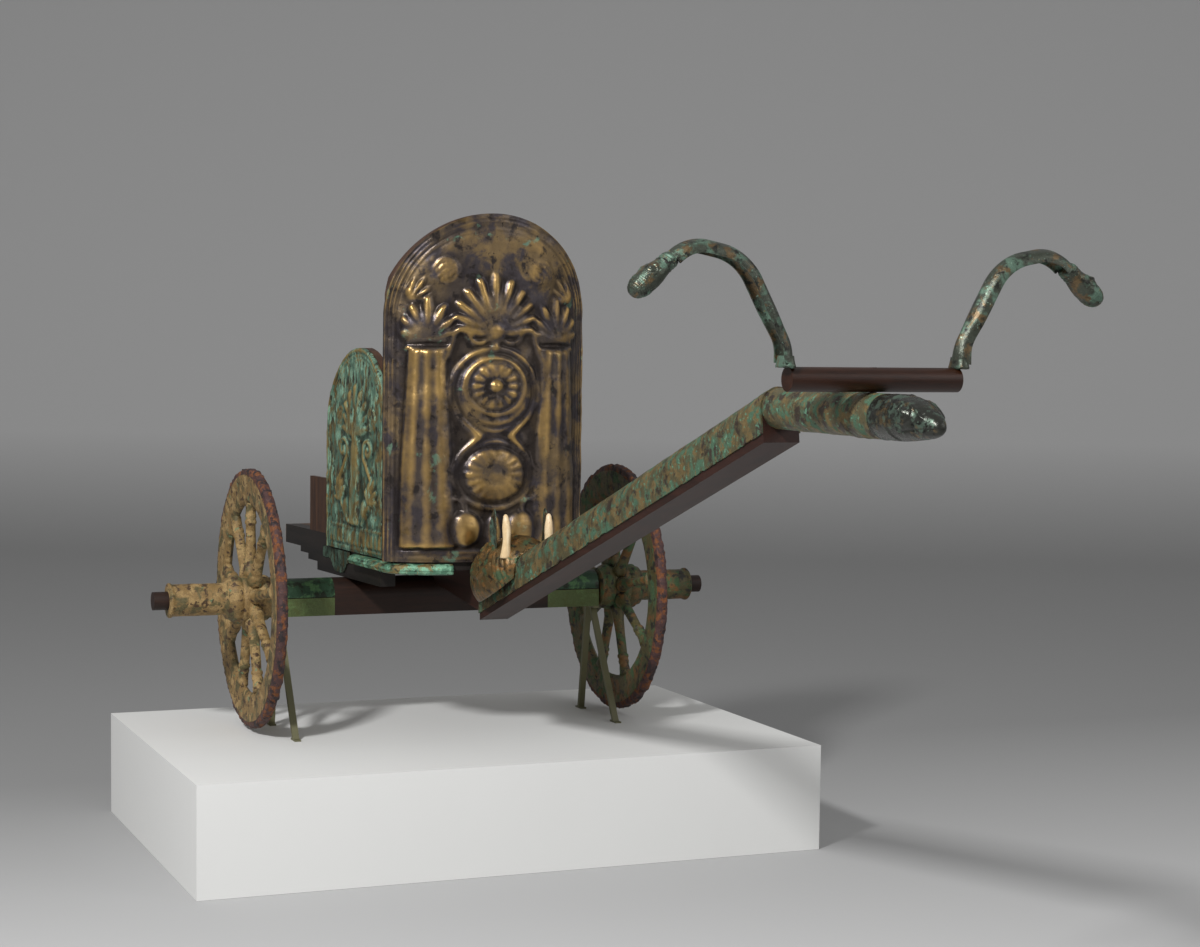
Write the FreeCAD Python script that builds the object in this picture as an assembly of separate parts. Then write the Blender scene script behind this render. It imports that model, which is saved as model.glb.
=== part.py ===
import FreeCAD, Part
import math
import os

# Ancient two-wheeled parade chariot on its museum plinth, in millimetres.
#
# Frame: +X forward along the pole, +Y to the chariot's left, +Z up. The origin is on the floor,
# under the middle of the axle. Bronze sheathing and panels are mounted on a wooden core: a
# U-shaped floor frame on the axle, three upright panels, a bent pole and a yoke. Two pairs of
# steel legs carry the axle, so that the wheels hang just clear of the plinth and turn freely.

Vec = FreeCAD.Vector

# ---- plinth and wheels
plinthHeight = 265.0
plinthRear = -365.0
plinthFront = 665.0
plinthHalfWidth = 792.0
wheelClearance = 5.0
wheelRadius = 335.0
wheelTrackHalf = 504.0
tyreDepth = 20.0
tyreWidth = 30.0
rimInnerRadius = 241.0
rimWidth = 28.0
spokeCount = 9
spokeRootRadius = 15.0
spokeTipRadius = 12.0
spokeSquash = 0.82
hubSocketRadius = 18.5
hubSocketLength = 34.0
rimSocketRadius = 17.0
rimSocketLength = 44.0
spokeRootSink = 6.0
spokeTipSink = 4.0

# ---- nave, axle and its sheathing
axleArmRadius = 23.0
axleEnd = 755.0
naveBoreClearance = 0.05
naveInner = 447.0
naveBodyOuter = 570.0
naveOuter = 717.0
naveBodyRadius = 60.0
naveShoulder = 8.0
naveTubeRadius = 42.0
naveLipWidth = 6.0
naveLipHeight = 2.0
beamHalfWidth = 42.0
beamHalfHeight = 47.0
beamTopRadius = 42.0
sleeveWall = 3.0
sleeveInner = 294.0
sleeveOuter = 441.0
sleeveSeam = 2.0

# ---- support legs
saddleWidth = 16.0
saddleThick = 6.0
legThick = 12.0
legWidth = 16.0
legY = 434.0
legTopX = 16.0
legFootFront = 185.0
legFootRear = -60.0
footPlate = 4.0
footPlateReach = 14.0

# ---- floor frame and floor, heights above the wheels' lowest point
railBottom = 435.0
railTop = 485.0
railWidth = 40.0
railRear = -445.0
boardThick = 14.0
fitGap = 0.3
frontPanelWall = 10.0
sidePanelWall = 8.0
sideBoardWall = 12.0
sideBoardRear = -255.0
sideBoardFront = 300.0
sideBoardTop = 630.0

# ---- plan curve of the front panel, tangent arcs either side of the centre line
panelNose = 420.0
noseRadius = 600.0
noseAngle = 12.5
cheekRadius = 309.0
cheekAngle = 40.0
cornerAngle = 27.0
cornerRadius = 60.0
sideAngle = 85.24

# ---- panels
panelBottom = 456.0
frontPanelTop = 1309.0
frontArchRise = 262.0
frontRimWidth = 20.0
frontRailDepth = 22.0
sideRailWidth = 20.0
sidePanelRear = -100.0
sidePanelFront = 318.0
sidePanelApex = 125.0
sidePanelTop = 976.0
sideArchRise = 220.0
mouldingHeight = 28.0
mouldingDepth = 30.0
mouldingDrop = 4.0
mouldingRear = 100.0
mouldingBreak = 100.0

# ---- chocks and frieze strips under the side rails
chockWidth = 40.0
chockFront = 250.0
chockStepsX = (-330.0, -270.0, -200.0)
chockStepsDrop = (15.0, 30.0)
friezeWall = 4.0
friezeLift = 6.0
friezeRear = -150.0
friezeFront = 50.0
friezeEdge = ((0, 0.6), (0.12, 0.5), (0.2, 0.24), (0.46, 0.14), (0.62, 0), (0.8, 0.06), (0.88, 0.42), (1, 0.5))

# ---- pole and yoke
poleRootX = 430.0
poleRootZ = 379.0
poleBendX = 1955.0
poleLevelZ = 887.0
poleTipX = 2528.0
sheathRadius = 40.0
sheathDrop = 46.0
sheathWall = 3.0
frontSheathRadius = 38.0
coreDrop = 62.0
sheathJointX = 1224.0
sheathGap = 3.0
collarStart = 2261.0
finialStart = 2347.0
collarStep = 1.5
sectionOverrun = 60.0
finialStations = ((0, 1.04, 0), (0.35, 1.06, 0), (0.62, 0.92, -0.02), (0.84, 0.6, -0.1), (1.0, 0.2, -0.16))
rootWidth = 66.0
rootTopStep = 60.0
rootRear = -62.0
rootNotch = 14.0
cowlCentre = 130.0
cowlLift = 16.0
cowlHalfLength = 155.0
cowlRadius = 88.0
cowlPanelGap = 6.0
tuskRadius = 13.0
tuskTipRadius = 6.0
tuskTop = 592.0
tuskX = 655.0
tuskBottom = 488.0
tuskY = 54.0
earX = 605.0
earY = 60.0
earWall = 5.0
earWidth = 46.0
earHeight = 104.0
earBottom = 497.0

yokeX = 2300.0
yokeBarRadius = 21.0
yokeBarHalf = 164.0
yokePinRadius = 6.0
yokePinGap = 0.2
yokePinDepth = 40.0
armFootY = 178.0
armWaist = (180.0, 1003.0)
armShoulder = (254.0, 1140.0)
armCrown = (345.0, 1158.0)
armEnd = (372.0, 1135.0)
armWaistRadius = 60.0
armShoulderRadius = 80.0
armCrownRadius = 60.0
armWidth = 46.0
armDepth = 22.0
armWall = 4.0
footHeight = 8.0
footMargin = 6.0
footLap = 2.0
headHalfLength = 52.0
headRadius = 25.0
headOverlap = 12.0

# ---- values that follow from the ones above
groundZ = plinthHeight + wheelClearance
axleZ = groundZ + wheelRadius
noseCentreX = panelNose - noseRadius


def box(x0, x1, y0, y1, z0, z1):
    return Part.makeBox(x1 - x0, y1 - y0, z1 - z0, Vec(x0, y0, z0))


def cylinderY(radius, y0, y1, x=0.0, z=0.0):
    return Part.makeCylinder(radius, y1 - y0, Vec(x, y0, z), Vec(0, 1, 0))


def cylinderX(radius, x0, x1, z):
    return Part.makeCylinder(radius, x1 - x0, Vec(x0, 0, z), Vec(1, 0, 0))


def prism(points, direction):
    """Extrudes the closed polygon through the points along direction."""
    wire = Part.makePolygon(points + [points[0]])
    return Part.Face(wire).extrude(direction)


def mirrored(shape):
    """The same piece on the chariot's other side."""
    return shape.mirror(Vec(0, 0, 0), Vec(0, 1, 0))


def revolveY(profile, y0):
    """Turns a closed profile of (radius, y) points about the axle line."""
    points = [Vec(radius, y + y0, axleZ) for radius, y in profile]
    face = Part.Face(Part.makePolygon(points + [points[0]]))
    return face.revolve(Vec(0, 0, axleZ), Vec(0, 1, 0), 360)


def onePiece(shape):
    """The single solid of a boolean's result, with its seams cleaned."""
    cleaned = shape.removeSplitter()
    return cleaned.Solids[0] if len(cleaned.Solids) == 1 else cleaned


def arcPoint(centreX, centreY, radius, degrees):
    angle = math.radians(degrees)
    return Vec(centreX + radius * math.cos(angle), centreY + radius * math.sin(angle), 0)


def planArc(centre, radius, start, end):
    """A plan arc from one angle to another, as an edge."""
    middle = 0.5 * (start + end)
    ends = [arcPoint(centre[0], centre[1], radius, a) for a in (start, middle, end)]
    return Part.Arc(*ends).toShape()


def noseCentre():
    return (noseCentreX, 0.0)


def cheekCentre():
    point = arcPoint(noseCentreX, 0.0, noseRadius - cheekRadius, noseAngle)
    return (point.x, point.y)


def cornerCentre():
    cx, cy = cheekCentre()
    point = arcPoint(cx, cy, cheekRadius - frontPanelWall - cornerRadius, cornerAngle)
    return (point.x, point.y)


def flip(edge):
    return edge.mirror(Vec(0, 0, 0), Vec(0, 1, 0))


def frontCurve(offset, endAngle):
    """Plan edges of the front panel's face moved in by offset, from the right end to the left."""
    cheek = planArc(cheekCentre(), cheekRadius - offset, noseAngle, endAngle)
    nose = planArc(noseCentre(), noseRadius - offset, -noseAngle, noseAngle)
    return [flip(cheek), nose, cheek]


def railSideY(x):
    """Distance of the floor frame's outer side face from the centre line, at x."""
    start = cornerExit()
    return start.y + (start.x - x) / math.tan(math.radians(sideAngle))


def cornerExit():
    cx, cy = cornerCentre()
    return arcPoint(cx, cy, cornerRadius, sideAngle)


def frameOutline(inset, rearX):
    """Closed plan outline of the floor frame, moved in by inset, open ends squared at rearX."""
    corner = planArc(cornerCentre(), cornerRadius - inset, cornerAngle, sideAngle)
    front = frontCurve(frontPanelWall + inset, cornerAngle)
    exitPoint = arcPoint(*cornerCentre(), cornerRadius - inset, sideAngle)
    slope = 1.0 / math.tan(math.radians(sideAngle))
    rear = Vec(rearX, exitPoint.y + (exitPoint.x - rearX) * slope, 0)
    side = Part.makeLine(exitPoint, rear)
    tail = Part.makeLine(rear, Vec(rear.x, -rear.y, 0))
    edges = [corner, side, tail, flip(side), flip(corner)] + front
    return Part.Wire(Part.__sortEdges__(edges))


def slab(wire, z0, z1):
    face = Part.Face(wire)
    face.translate(Vec(0, 0, z0))
    return face.extrude(Vec(0, 0, z1 - z0))


def frontBand(outerOffset, innerOffset, z0, z1):
    """Curved upright wall between two offsets of the front panel's face."""
    outer = frontCurve(outerOffset, cheekAngle)
    inner = frontCurve(innerOffset, cheekAngle)
    cx, cy = cheekCentre()
    ends = [arcPoint(cx, cy, cheekRadius - offset, cheekAngle) for offset in (outerOffset, innerOffset)]
    cap = Part.makeLine(*ends)
    return slab(Part.Wire(Part.__sortEdges__(outer + inner + [cap, flip(cap)])), z0, z1)


def panelHalfWidth():
    cx, cy = cheekCentre()
    return arcPoint(cx, cy, cheekRadius, cheekAngle).y


def archPrism(inset, z0):
    """Extrusion along X of the front panel's arched outline, moved in by inset."""
    half = panelHalfWidth() + 1.0 - inset
    top = groundZ + frontPanelTop
    left = Vec(0, half, top - frontArchRise)
    right = Vec(0, -half, top - frontArchRise)
    arch = Part.Arc(left, Vec(0, 0, top - inset), right).toShape()
    sides = Part.makePolygon([right, Vec(0, -half, z0), Vec(0, half, z0), left])
    return Part.Face(Part.Wire([arch] + sides.Edges)).extrude(Vec(panelNose + 10, 0, 0))


def buildPlinth():
    return box(plinthRear, plinthFront, -plinthHalfWidth, plinthHalfWidth, 0, plinthHeight)


def beamSection(inset, y0, y1):
    """Round-topped square beam along the axle line, its faces moved in by inset."""
    half = beamHalfWidth - inset
    low = axleZ - beamHalfHeight + inset
    shoulder = axleZ + beamHalfHeight - beamTopRadius
    top = Vec(0, y0, axleZ + beamHalfHeight - inset)
    arch = Part.Arc(Vec(half, y0, shoulder), top, Vec(-half, y0, shoulder)).toShape()
    corners = [Vec(-half, y0, shoulder), Vec(-half, y0, low), Vec(half, y0, low), Vec(half, y0, shoulder)]
    wire = Part.Wire([arch] + Part.makePolygon(corners).Edges)
    return Part.Face(wire).extrude(Vec(0, y1 - y0, 0))


def buildAxle():
    beam = beamSection(0, -sleeveInner, sleeveInner)
    arbor = beamSection(sleeveWall, -sleeveOuter, sleeveOuter)
    shaft = cylinderY(axleArmRadius, -axleEnd, axleEnd, z=axleZ)
    return onePiece(beam.fuse([arbor, shaft]))


def buildAxleSleeve():
    """Sheet-bronze cladding of the left end of the beam, in an upper and a lower half."""
    shell = beamSection(0, sleeveInner, sleeveOuter).cut(beamSection(sleeveWall, sleeveInner, sleeveOuter))
    seamZ = axleZ - 0.5 * sleeveSeam
    seam = box(-beamHalfWidth * 2, beamHalfWidth * 2, sleeveInner, sleeveOuter, seamZ, seamZ + sleeveSeam)
    return shell.cut(seam)


def saddleTopZ():
    return axleZ - beamHalfHeight


def buildSaddle():
    top = saddleTopZ()
    y0 = legY - saddleWidth / 2
    return box(-beamHalfWidth, beamHalfWidth, y0, y0 + saddleWidth, top - saddleThick, top)


def buildLeg(topX, footX):
    """Flat steel bar from the saddle down to its foot plate on the plinth."""
    topZ = saddleTopZ() - saddleThick
    half = legThick / 2
    y0 = legY - legWidth / 2
    y1 = legY + legWidth / 2
    corners = [(topX - half, topZ), (topX + half, topZ)]
    corners += [(footX + half, plinthHeight), (footX - half, plinthHeight)]
    bar = prism([Vec(x, y0, z) for x, z in corners], Vec(0, legWidth, 0))
    reach = half + footPlateReach
    plate = box(footX - reach, footX + reach, y0, y1, plinthHeight, plinthHeight + footPlate)
    return onePiece(bar.fuse(plate))


def buildNave():
    """Turned nave of the left wheel, bored to run on the axle arm."""
    bore = axleArmRadius + naveBoreClearance
    profile = [
        (bore, naveInner),
        (naveBodyRadius - naveShoulder, naveInner),
        (naveBodyRadius, naveInner + naveShoulder),
        (naveBodyRadius, naveBodyOuter - naveShoulder),
        (naveBodyRadius - naveShoulder, naveBodyOuter),
        (naveTubeRadius, naveBodyOuter),
        (naveTubeRadius, naveOuter - naveLipWidth),
        (naveTubeRadius + naveLipHeight, naveOuter - naveLipWidth),
        (naveTubeRadius + naveLipHeight, naveOuter),
        (bore, naveOuter),
    ]
    return revolveY(profile, 0)


def ringY(inner, outer, width):
    y0 = wheelTrackHalf - width / 2
    ring = cylinderY(outer, y0, y0 + width, z=axleZ)
    return ring.cut(cylinderY(inner, y0, y0 + width, z=axleZ))


def rimOuterRadius():
    return wheelRadius - tyreDepth


def buildRim():
    return ringY(rimInnerRadius, rimOuterRadius(), rimWidth)


def buildTyre():
    return ringY(rimOuterRadius(), wheelRadius, tyreWidth)


def buildSpoke():
    """One upright spoke over the nave, with its nave and rim sockets, oval along the axle."""
    start = naveBodyRadius - spokeRootSink
    length = rimInnerRadius + spokeTipSink - start
    up = Vec(0, 0, 1)
    shank = Part.makeCone(spokeRootRadius, spokeTipRadius, length, Vec(0, 0, start), up)
    root = Part.makeCone(hubSocketRadius, spokeRootRadius, hubSocketLength, Vec(0, 0, start), up)
    rimStart = start + length - rimSocketLength
    tip = Part.makeCone(spokeTipRadius + 1, rimSocketRadius, rimSocketLength, Vec(0, 0, rimStart), up)
    spoke = shank.fuse([root, tip]).removeSplitter()
    squash = FreeCAD.Matrix()
    squash.scale(1.0, spokeSquash, 1.0)
    spoke = spoke.transformGeometry(squash)
    spoke.translate(Vec(0, wheelTrackHalf, axleZ))
    return spoke


def buildSpokes():
    nave = cylinderY(naveBodyRadius, naveInner, naveBodyOuter, z=axleZ)
    inside = cylinderY(rimInnerRadius, naveInner, naveBodyOuter, z=axleZ)
    first = buildSpoke().cut(nave).common(inside)
    turns = []
    for number in range(spokeCount):
        spoke = first.copy()
        spoke.rotate(Vec(0, 0, axleZ), Vec(0, 1, 0), number * 360.0 / spokeCount)
        turns.append(spoke)
    return Part.makeCompound(turns)


def buildFloorFrame():
    """U-shaped bent-wood rail, open to the rear, seen in plan."""
    outer = slab(frameOutline(0, railRear), groundZ + railBottom, groundZ + railTop)
    inner = slab(frameOutline(railWidth, railRear - 10), groundZ + railBottom, groundZ + railTop)
    return onePiece(outer.cut(inner))


def buildFloorBoard():
    """Floor board inside the frame, flush with its top."""
    z1 = groundZ + railTop
    return slab(frameOutline(railWidth + fitGap, railRear), z1 - boardThick, z1)


def buildFrontPanel():
    low = groundZ + panelBottom
    band = frontBand(0, frontPanelWall - fitGap, low, groundZ + frontPanelTop)
    return onePiece(band.common(archPrism(0, low - 1)))


def buildFrontRail():
    """Bent rail behind the front panel's edge, following its arch."""
    low = groundZ + railTop + fitGap
    band = frontBand(frontPanelWall, frontPanelWall + frontRailDepth, low, groundZ + frontPanelTop)
    hoop = archPrism(0, low - 1).cut(archPrism(frontRimWidth, low - 2))
    return onePiece(band.common(hoop))


def sideOutline(inset, z0):
    """Closed outline of a side panel in the XZ plane, its arch of two quarter ellipses."""
    top = groundZ + sidePanelTop - inset
    spring = groundZ + sidePanelTop - sideArchRise
    rise = top - spring
    edges = []
    for endX, sign in ((sidePanelRear + inset, -1), (sidePanelFront - inset, 1)):
        run = abs(endX - sidePanelApex)
        steps = [i * math.pi / 24 for i in range(13)]
        points = [Vec(sidePanelApex + sign * run * math.cos(a), 0, spring + rise * math.sin(a)) for a in steps]
        curve = Part.BSplineCurve()
        curve.interpolate(points, InitialTangent=Vec(0, 0, 1), FinalTangent=Vec(-sign, 0, 0))
        edges.append(curve.toShape())
    rear, front = sidePanelRear + inset, sidePanelFront - inset
    base = [Vec(rear, 0, spring), Vec(rear, 0, z0), Vec(front, 0, z0), Vec(front, 0, spring)]
    edges += Part.makePolygon(base).Edges
    return Part.Wire(Part.__sortEdges__(edges))


def onLeftSide(shape, outward):
    """Turns a piece built at y = 0 to the toed line of the left rail, outward from its face."""
    shape.rotate(Vec(0, 0, 0), Vec(0, 0, 1), sideAngle - 90.0)
    slope = math.radians(90.0 - sideAngle)
    shape.translate(Vec(0, railSideY(0) + outward / math.cos(slope), 0))
    return shape


def sidePlate(wire, thickness, outward):
    """A flat plate whose inner face lies outward from the left rail's outer side."""
    return onLeftSide(Part.Face(wire).extrude(Vec(0, thickness, 0)), outward)


def buildSidePanel():
    return sidePlate(sideOutline(0, groundZ + panelBottom), sidePanelWall, 0)


def buildSideRail():
    """Bent rail inside the left side panel's edge, standing on the side board."""
    low = groundZ + sideBoardTop
    outer = Part.Face(sideOutline(0, low)).extrude(Vec(0, sideRailWidth, 0))
    inner = Part.Face(sideOutline(sideRailWidth, low - 1)).extrude(Vec(0, sideRailWidth, 0))
    return onLeftSide(outer.cut(inner), -sideRailWidth)


def rectangleXZ(x0, x1, z0, z1):
    return Part.makePolygon([Vec(x0, 0, z0), Vec(x1, 0, z0), Vec(x1, 0, z1), Vec(x0, 0, z1), Vec(x0, 0, z0)])


def buildSideBoard():
    wire = rectangleXZ(sideBoardRear, sideBoardFront, groundZ + railTop, groundZ + sideBoardTop)
    return sidePlate(wire, sideBoardWall, -sideBoardWall)


def buildMoulding():
    """Bronze moulding round the left front of the frame, broken off where the pole leaves it."""
    z1 = groundZ + panelBottom - mouldingDrop
    z0 = z1 - mouldingHeight
    outer = slab(frameOutline(-mouldingDepth, mouldingRear), z0, z1)
    inner = slab(frameOutline(0, mouldingRear - 10), z0, z1)
    leftSide = box(0, panelNose + 2 * mouldingDepth, mouldingBreak, 2 * cheekRadius, z0, z1)
    return onePiece(outer.cut(inner).common(leftSide))


def buildChock():
    """Stepped wooden chock between the left rail and the axle beam."""
    top = groundZ + railBottom
    low = axleZ + beamHalfHeight + fitGap
    rear, middle, front = chockStepsX
    upperStep, lowerStep = [top - drop for drop in chockStepsDrop]
    points = [(rear, top), (rear, upperStep), (middle, upperStep), (middle, lowerStep)]
    points += [(front, lowerStep), (front, low), (chockFront, low), (chockFront, top)]
    wire = Part.makePolygon([Vec(x, 0, z) for x, z in points + points[:1]])
    return sidePlate(wire, chockWidth, -chockWidth)


def buildFrieze():
    """Strip of ribbed sheet bronze hanging from the left rail, broken at its lower edge."""
    top = groundZ + panelBottom - mouldingDrop
    low = axleZ + beamHalfHeight + friezeLift
    run = friezeFront - friezeRear
    points = [(friezeRear + run * along, low + (top - low) * up) for along, up in friezeEdge]
    points += [(friezeFront, top), (friezeRear, top)]
    wire = Part.makePolygon([Vec(x, 0, z) for x, z in points + points[:1]])
    return sidePlate(wire, friezeWall, 0.0)


def poleAngle():
    return math.atan2(poleLevelZ - poleRootZ, poleBendX - poleRootX)


def poleDirection():
    return Vec(math.cos(poleAngle()), 0, math.sin(poleAngle()))


def polePoint(x):
    """The point of the pole's sloping centre line over x."""
    return Vec(x, 0, groundZ + poleRootZ + (x - poleRootX) * math.tan(poleAngle()))


def slopedSection(radius, drop, x0, x1):
    """Round-topped, straight-sided bar along the pole's slope between two places."""
    up = Vec(-math.sin(poleAngle()), 0, math.cos(poleAngle()))
    start = polePoint(x0)
    side = Vec(0, radius, 0)
    arch = Part.Arc(start + side, start + up * radius, start - side).toShape()
    corners = [start - side, start - side - up * drop, start + side - up * drop, start + side]
    wire = Part.Wire([arch] + Part.makePolygon(corners).Edges)
    return Part.Face(wire).extrude(poleDirection() * ((x1 - x0) / math.cos(poleAngle())))


def bendCutter(before):
    """A large block on one side of the plane that halves the pole's bend."""
    size = 600.0
    lean = math.degrees(poleAngle()) / 2
    block = Part.makeBox(size, size, size, Vec(-size if before else 0, -size / 2, -size / 2))
    block.rotate(Vec(0, 0, 0), Vec(0, 1, 0), -lean)
    block.translate(Vec(poleBendX, 0, groundZ + poleLevelZ))
    return block


def uprightCut(shape, x):
    """Takes away what lies behind the upright plane at x."""
    return shape.cut(box(x - 400, x, -200, 200, 0, 2000))


def yokePinHole():
    z0 = groundZ + poleLevelZ + frontSheathRadius - yokePinDepth
    height = yokePinDepth + 4 * yokeBarRadius
    return Part.makeCylinder(yokePinRadius + yokePinGap, height, Vec(yokeX, 0, z0))


def buildPoleCore():
    """The wooden pole inside its sheathing, its flat underside showing along the slope."""
    x0 = poleRootX - sectionOverrun
    x1 = poleBendX + sectionOverrun
    sloped = slopedSection(sheathRadius - sheathWall - fitGap, coreDrop, x0, x1)
    sloped = uprightCut(sloped, poleRootX + fitGap).cut(bendCutter(False))
    coreRadius = frontSheathRadius - sheathWall - fitGap
    level = cylinderX(coreRadius, poleBendX - sectionOverrun, finialStart, groundZ + poleLevelZ)
    level = level.cut(bendCutter(True))
    return onePiece(sloped.fuse(level)).cut(yokePinHole())


def slopedSheath(x0, x1):
    """A stretch of the sheet-bronze channel over the sloping pole."""
    outer = slopedSection(sheathRadius, sheathDrop, x0, x1)
    return outer.cut(slopedSection(sheathRadius - sheathWall, coreDrop + 5, x0 - 20, x1 + 20))


def buildSheathLower():
    return uprightCut(slopedSheath(poleRootX - sectionOverrun, sheathJointX - sheathGap / 2), poleRootX)


def buildSheathUpper():
    sheath = slopedSheath(sheathJointX + sheathGap / 2, poleBendX + sectionOverrun)
    return onePiece(sheath.cut(bendCutter(False)))


def levelTube(outer, x0, x1):
    tube = cylinderX(outer, x0, x1, groundZ + poleLevelZ)
    return tube.cut(cylinderX(frontSheathRadius - sheathWall, x0, x1, groundZ + poleLevelZ))


def buildSheathFront():
    tube = levelTube(frontSheathRadius, poleBendX - sectionOverrun, collarStart)
    return onePiece(tube.cut(bendCutter(True)))


def buildCollar():
    return levelTube(frontSheathRadius + collarStep, collarStart, finialStart).cut(yokePinHole())


def buildFinial():
    """Bird-head shaped end of the pole: a round cap that narrows to a low, rounded beak."""
    length = poleTipX - finialStart
    rings = []
    for share, size, drop in finialStations:
        centre = Vec(finialStart + share * length, 0, groundZ + poleLevelZ + drop * frontSheathRadius)
        circle = Part.Circle(centre, Vec(1, 0, 0), size * frontSheathRadius)
        rings.append(Part.Wire(circle.toShape()))
    return Part.makeLoft(rings, True, False)


def buildPoleRoot():
    """Tapered timber that carries the pole's foot back over the axle beam."""
    top = groundZ + railBottom - fitGap
    low = axleZ + beamHalfHeight + fitGap
    foot = polePoint(poleRootX)
    notch = beamHalfWidth + rootNotch
    points = [(rootRear, top), (rootRear, low), (notch, low), (notch + rootNotch, low - rootNotch)]
    points += [(poleRootX, foot.z - sheathDrop), (poleRootX, foot.z + sheathRadius)]
    points.append((poleRootX - rootTopStep, top))
    return prism([Vec(x, -rootWidth / 2, z) for x, z in points], Vec(0, rootWidth, 0))


def ellipsoid(centre, halfLength, radius, direction):
    """Solid of revolution of a half ellipse about its long axis."""
    steps = [i * math.pi / 16 for i in range(17)]
    points = [Vec(-halfLength * math.cos(a), 0, radius * math.sin(a)) for a in steps]
    curve = Part.BSplineCurve()
    curve.interpolate(points, InitialTangent=Vec(0, 0, 1), FinalTangent=Vec(0, 0, -1))
    closing = Part.makeLine(points[-1], points[0])
    face = Part.Face(Part.Wire([curve.toShape(), closing]))
    solid = face.revolve(Vec(0, 0, 0), Vec(1, 0, 0), 360)
    solid.Placement = FreeCAD.Placement(centre, FreeCAD.Rotation(Vec(1, 0, 0), direction))
    return solid


def buildCowl():
    """Swelling bronze socket on the pole's root, in front of the panel."""
    centre = polePoint(poleRootX) + poleDirection() * cowlCentre + Vec(0, 0, cowlLift)
    body = ellipsoid(centre, cowlHalfLength, cowlRadius, poleDirection())
    slot = slopedSection(sheathRadius + fitGap, coreDrop + cowlRadius, poleRootX - sectionOverrun, sheathJointX)
    behind = mouldingDepth - frontPanelWall + cowlPanelGap
    keepOut = frontBand(-behind, cowlHalfLength, groundZ, groundZ + frontPanelTop)
    return onePiece(body.cut(slot).cut(keepOut))


def buildTusk():
    """Tapering ivory tusk rising from the left of the cowl."""
    foot = Vec(tuskX, tuskY, groundZ + tuskBottom)
    tusk = Part.makeCone(tuskRadius, tuskTipRadius, tuskTop - tuskBottom, foot)
    return onePiece(tusk.cut(buildCowl()))


def buildEar():
    """Leaf-shaped plate standing on the left of the cowl."""
    half = earWidth / 2
    z0 = groundZ + earBottom
    foot = Vec(earX, earY, z0)
    tip = Vec(earX, earY, z0 + earHeight)
    sides = []
    for knots in ((foot, -half, tip), (tip, half, foot)):
        curve = Part.BSplineCurve()
        curve.interpolate([knots[0], Vec(earX + knots[1], earY, z0 + earHeight / 2), knots[2]])
        sides.append(curve.toShape())
    leaf = Part.Face(Part.Wire(sides)).extrude(Vec(0, earWall, 0))
    return onePiece(leaf.cut(buildCowl()))


def yokeBarZ():
    return groundZ + poleLevelZ + frontSheathRadius + collarStep + fitGap + yokeBarRadius


def buildYokeBar():
    bar = cylinderY(yokeBarRadius, -yokeBarHalf, yokeBarHalf, x=yokeX, z=yokeBarZ())
    return bar.cut(yokePinHole())


def buildYokePin():
    z0 = groundZ + poleLevelZ + frontSheathRadius - yokePinDepth
    return Part.makeCylinder(yokePinRadius, yokeBarZ() + yokeBarRadius - z0, Vec(yokeX, 0, z0))


def armPath():
    """Lip line of the left yoke arm: straight runs joined by tangent arcs, in the yoke's plane."""
    foot = Vec(yokeX, armFootY, yokeBarZ() + yokeBarRadius + footHeight - footLap)
    waist, shoulder, crown, end = [
        Vec(yokeX, y, groundZ + z) for y, z in (armWaist, armShoulder, armCrown, armEnd)
    ]
    turns = (
        (waist, shoulder, armWaistRadius),
        (shoulder, crown, armShoulderRadius),
        (crown, end, armCrownRadius),
    )
    edges = []
    start = foot
    for corner, after, radius in turns:
        back = (start - corner).normalize()
        ahead = (after - corner).normalize()
        half = 0.5 * back.getAngle(ahead)
        reach = radius / math.tan(half)
        first = corner + back * reach
        last = corner + ahead * reach
        middle = corner + (back + ahead).normalize() * (radius / math.sin(half) - radius)
        edges += [Part.makeLine(start, first), Part.Arc(first, middle, last).toShape()]
        start = last
    edges.append(Part.makeLine(start, end))
    return Part.Wire(edges)


def channelSection(place, tangent):
    """Closed outline of the round-backed channel, set square to the arm's path at a place."""
    along = Vec(1, 0, 0)
    outward = along.cross(tangent).normalize()
    half = armWidth / 2

    def at(u, v):
        return place + along * u + outward * v

    outer = Part.Arc(at(-half, 0), at(0, armDepth), at(half, 0)).toShape()
    inner = Part.Arc(at(half - armWall, 0), at(0, armDepth - armWall), at(armWall - half, 0)).toShape()
    lip = Part.makeLine(at(half, 0), at(half - armWall, 0))
    farLip = Part.makeLine(at(armWall - half, 0), at(-half, 0))
    return Part.Wire([outer, lip, inner, farLip])


def buildYokeArm():
    """Channel-shaped left arm of the yoke on its foot, open on its hollow side."""
    path = armPath()
    start = path.Edges[0].valueAt(path.Edges[0].FirstParameter)
    tangent = path.Edges[0].tangentAt(path.Edges[0].FirstParameter)
    channel = path.makePipeShell([channelSection(start, tangent)], True, False)
    y0 = armFootY - armDepth - footMargin
    half = armWidth / 2
    z0 = yokeBarZ() + 0.5 * yokeBarRadius
    foot = box(yokeX - half, yokeX + half, y0, armFootY + footMargin, z0, start.z + footLap)
    cradle = cylinderY(yokeBarRadius + fitGap, 0, 2 * yokeBarHalf, x=yokeX, z=yokeBarZ())
    return onePiece(channel.fuse(foot).cut(cradle))


def buildYokeHead():
    """Rounded head butting on the end face of the left arm."""
    last = armPath().Edges[-1]
    tangent = last.tangentAt(last.LastParameter)
    outward = Vec(1, 0, 0).cross(tangent).normalize()
    end = last.valueAt(last.LastParameter) + outward * (0.5 * armDepth)
    head = ellipsoid(end + tangent * (headHalfLength - headOverlap), headHalfLength, headRadius, tangent)
    reach = 2 * headHalfLength
    behind = Part.makeBox(reach, 2 * reach, 2 * reach, Vec(-reach, -reach, -reach))
    behind.Placement = FreeCAD.Placement(end, FreeCAD.Rotation(Vec(1, 0, 0), tangent))
    return onePiece(head.cut(behind))


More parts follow.
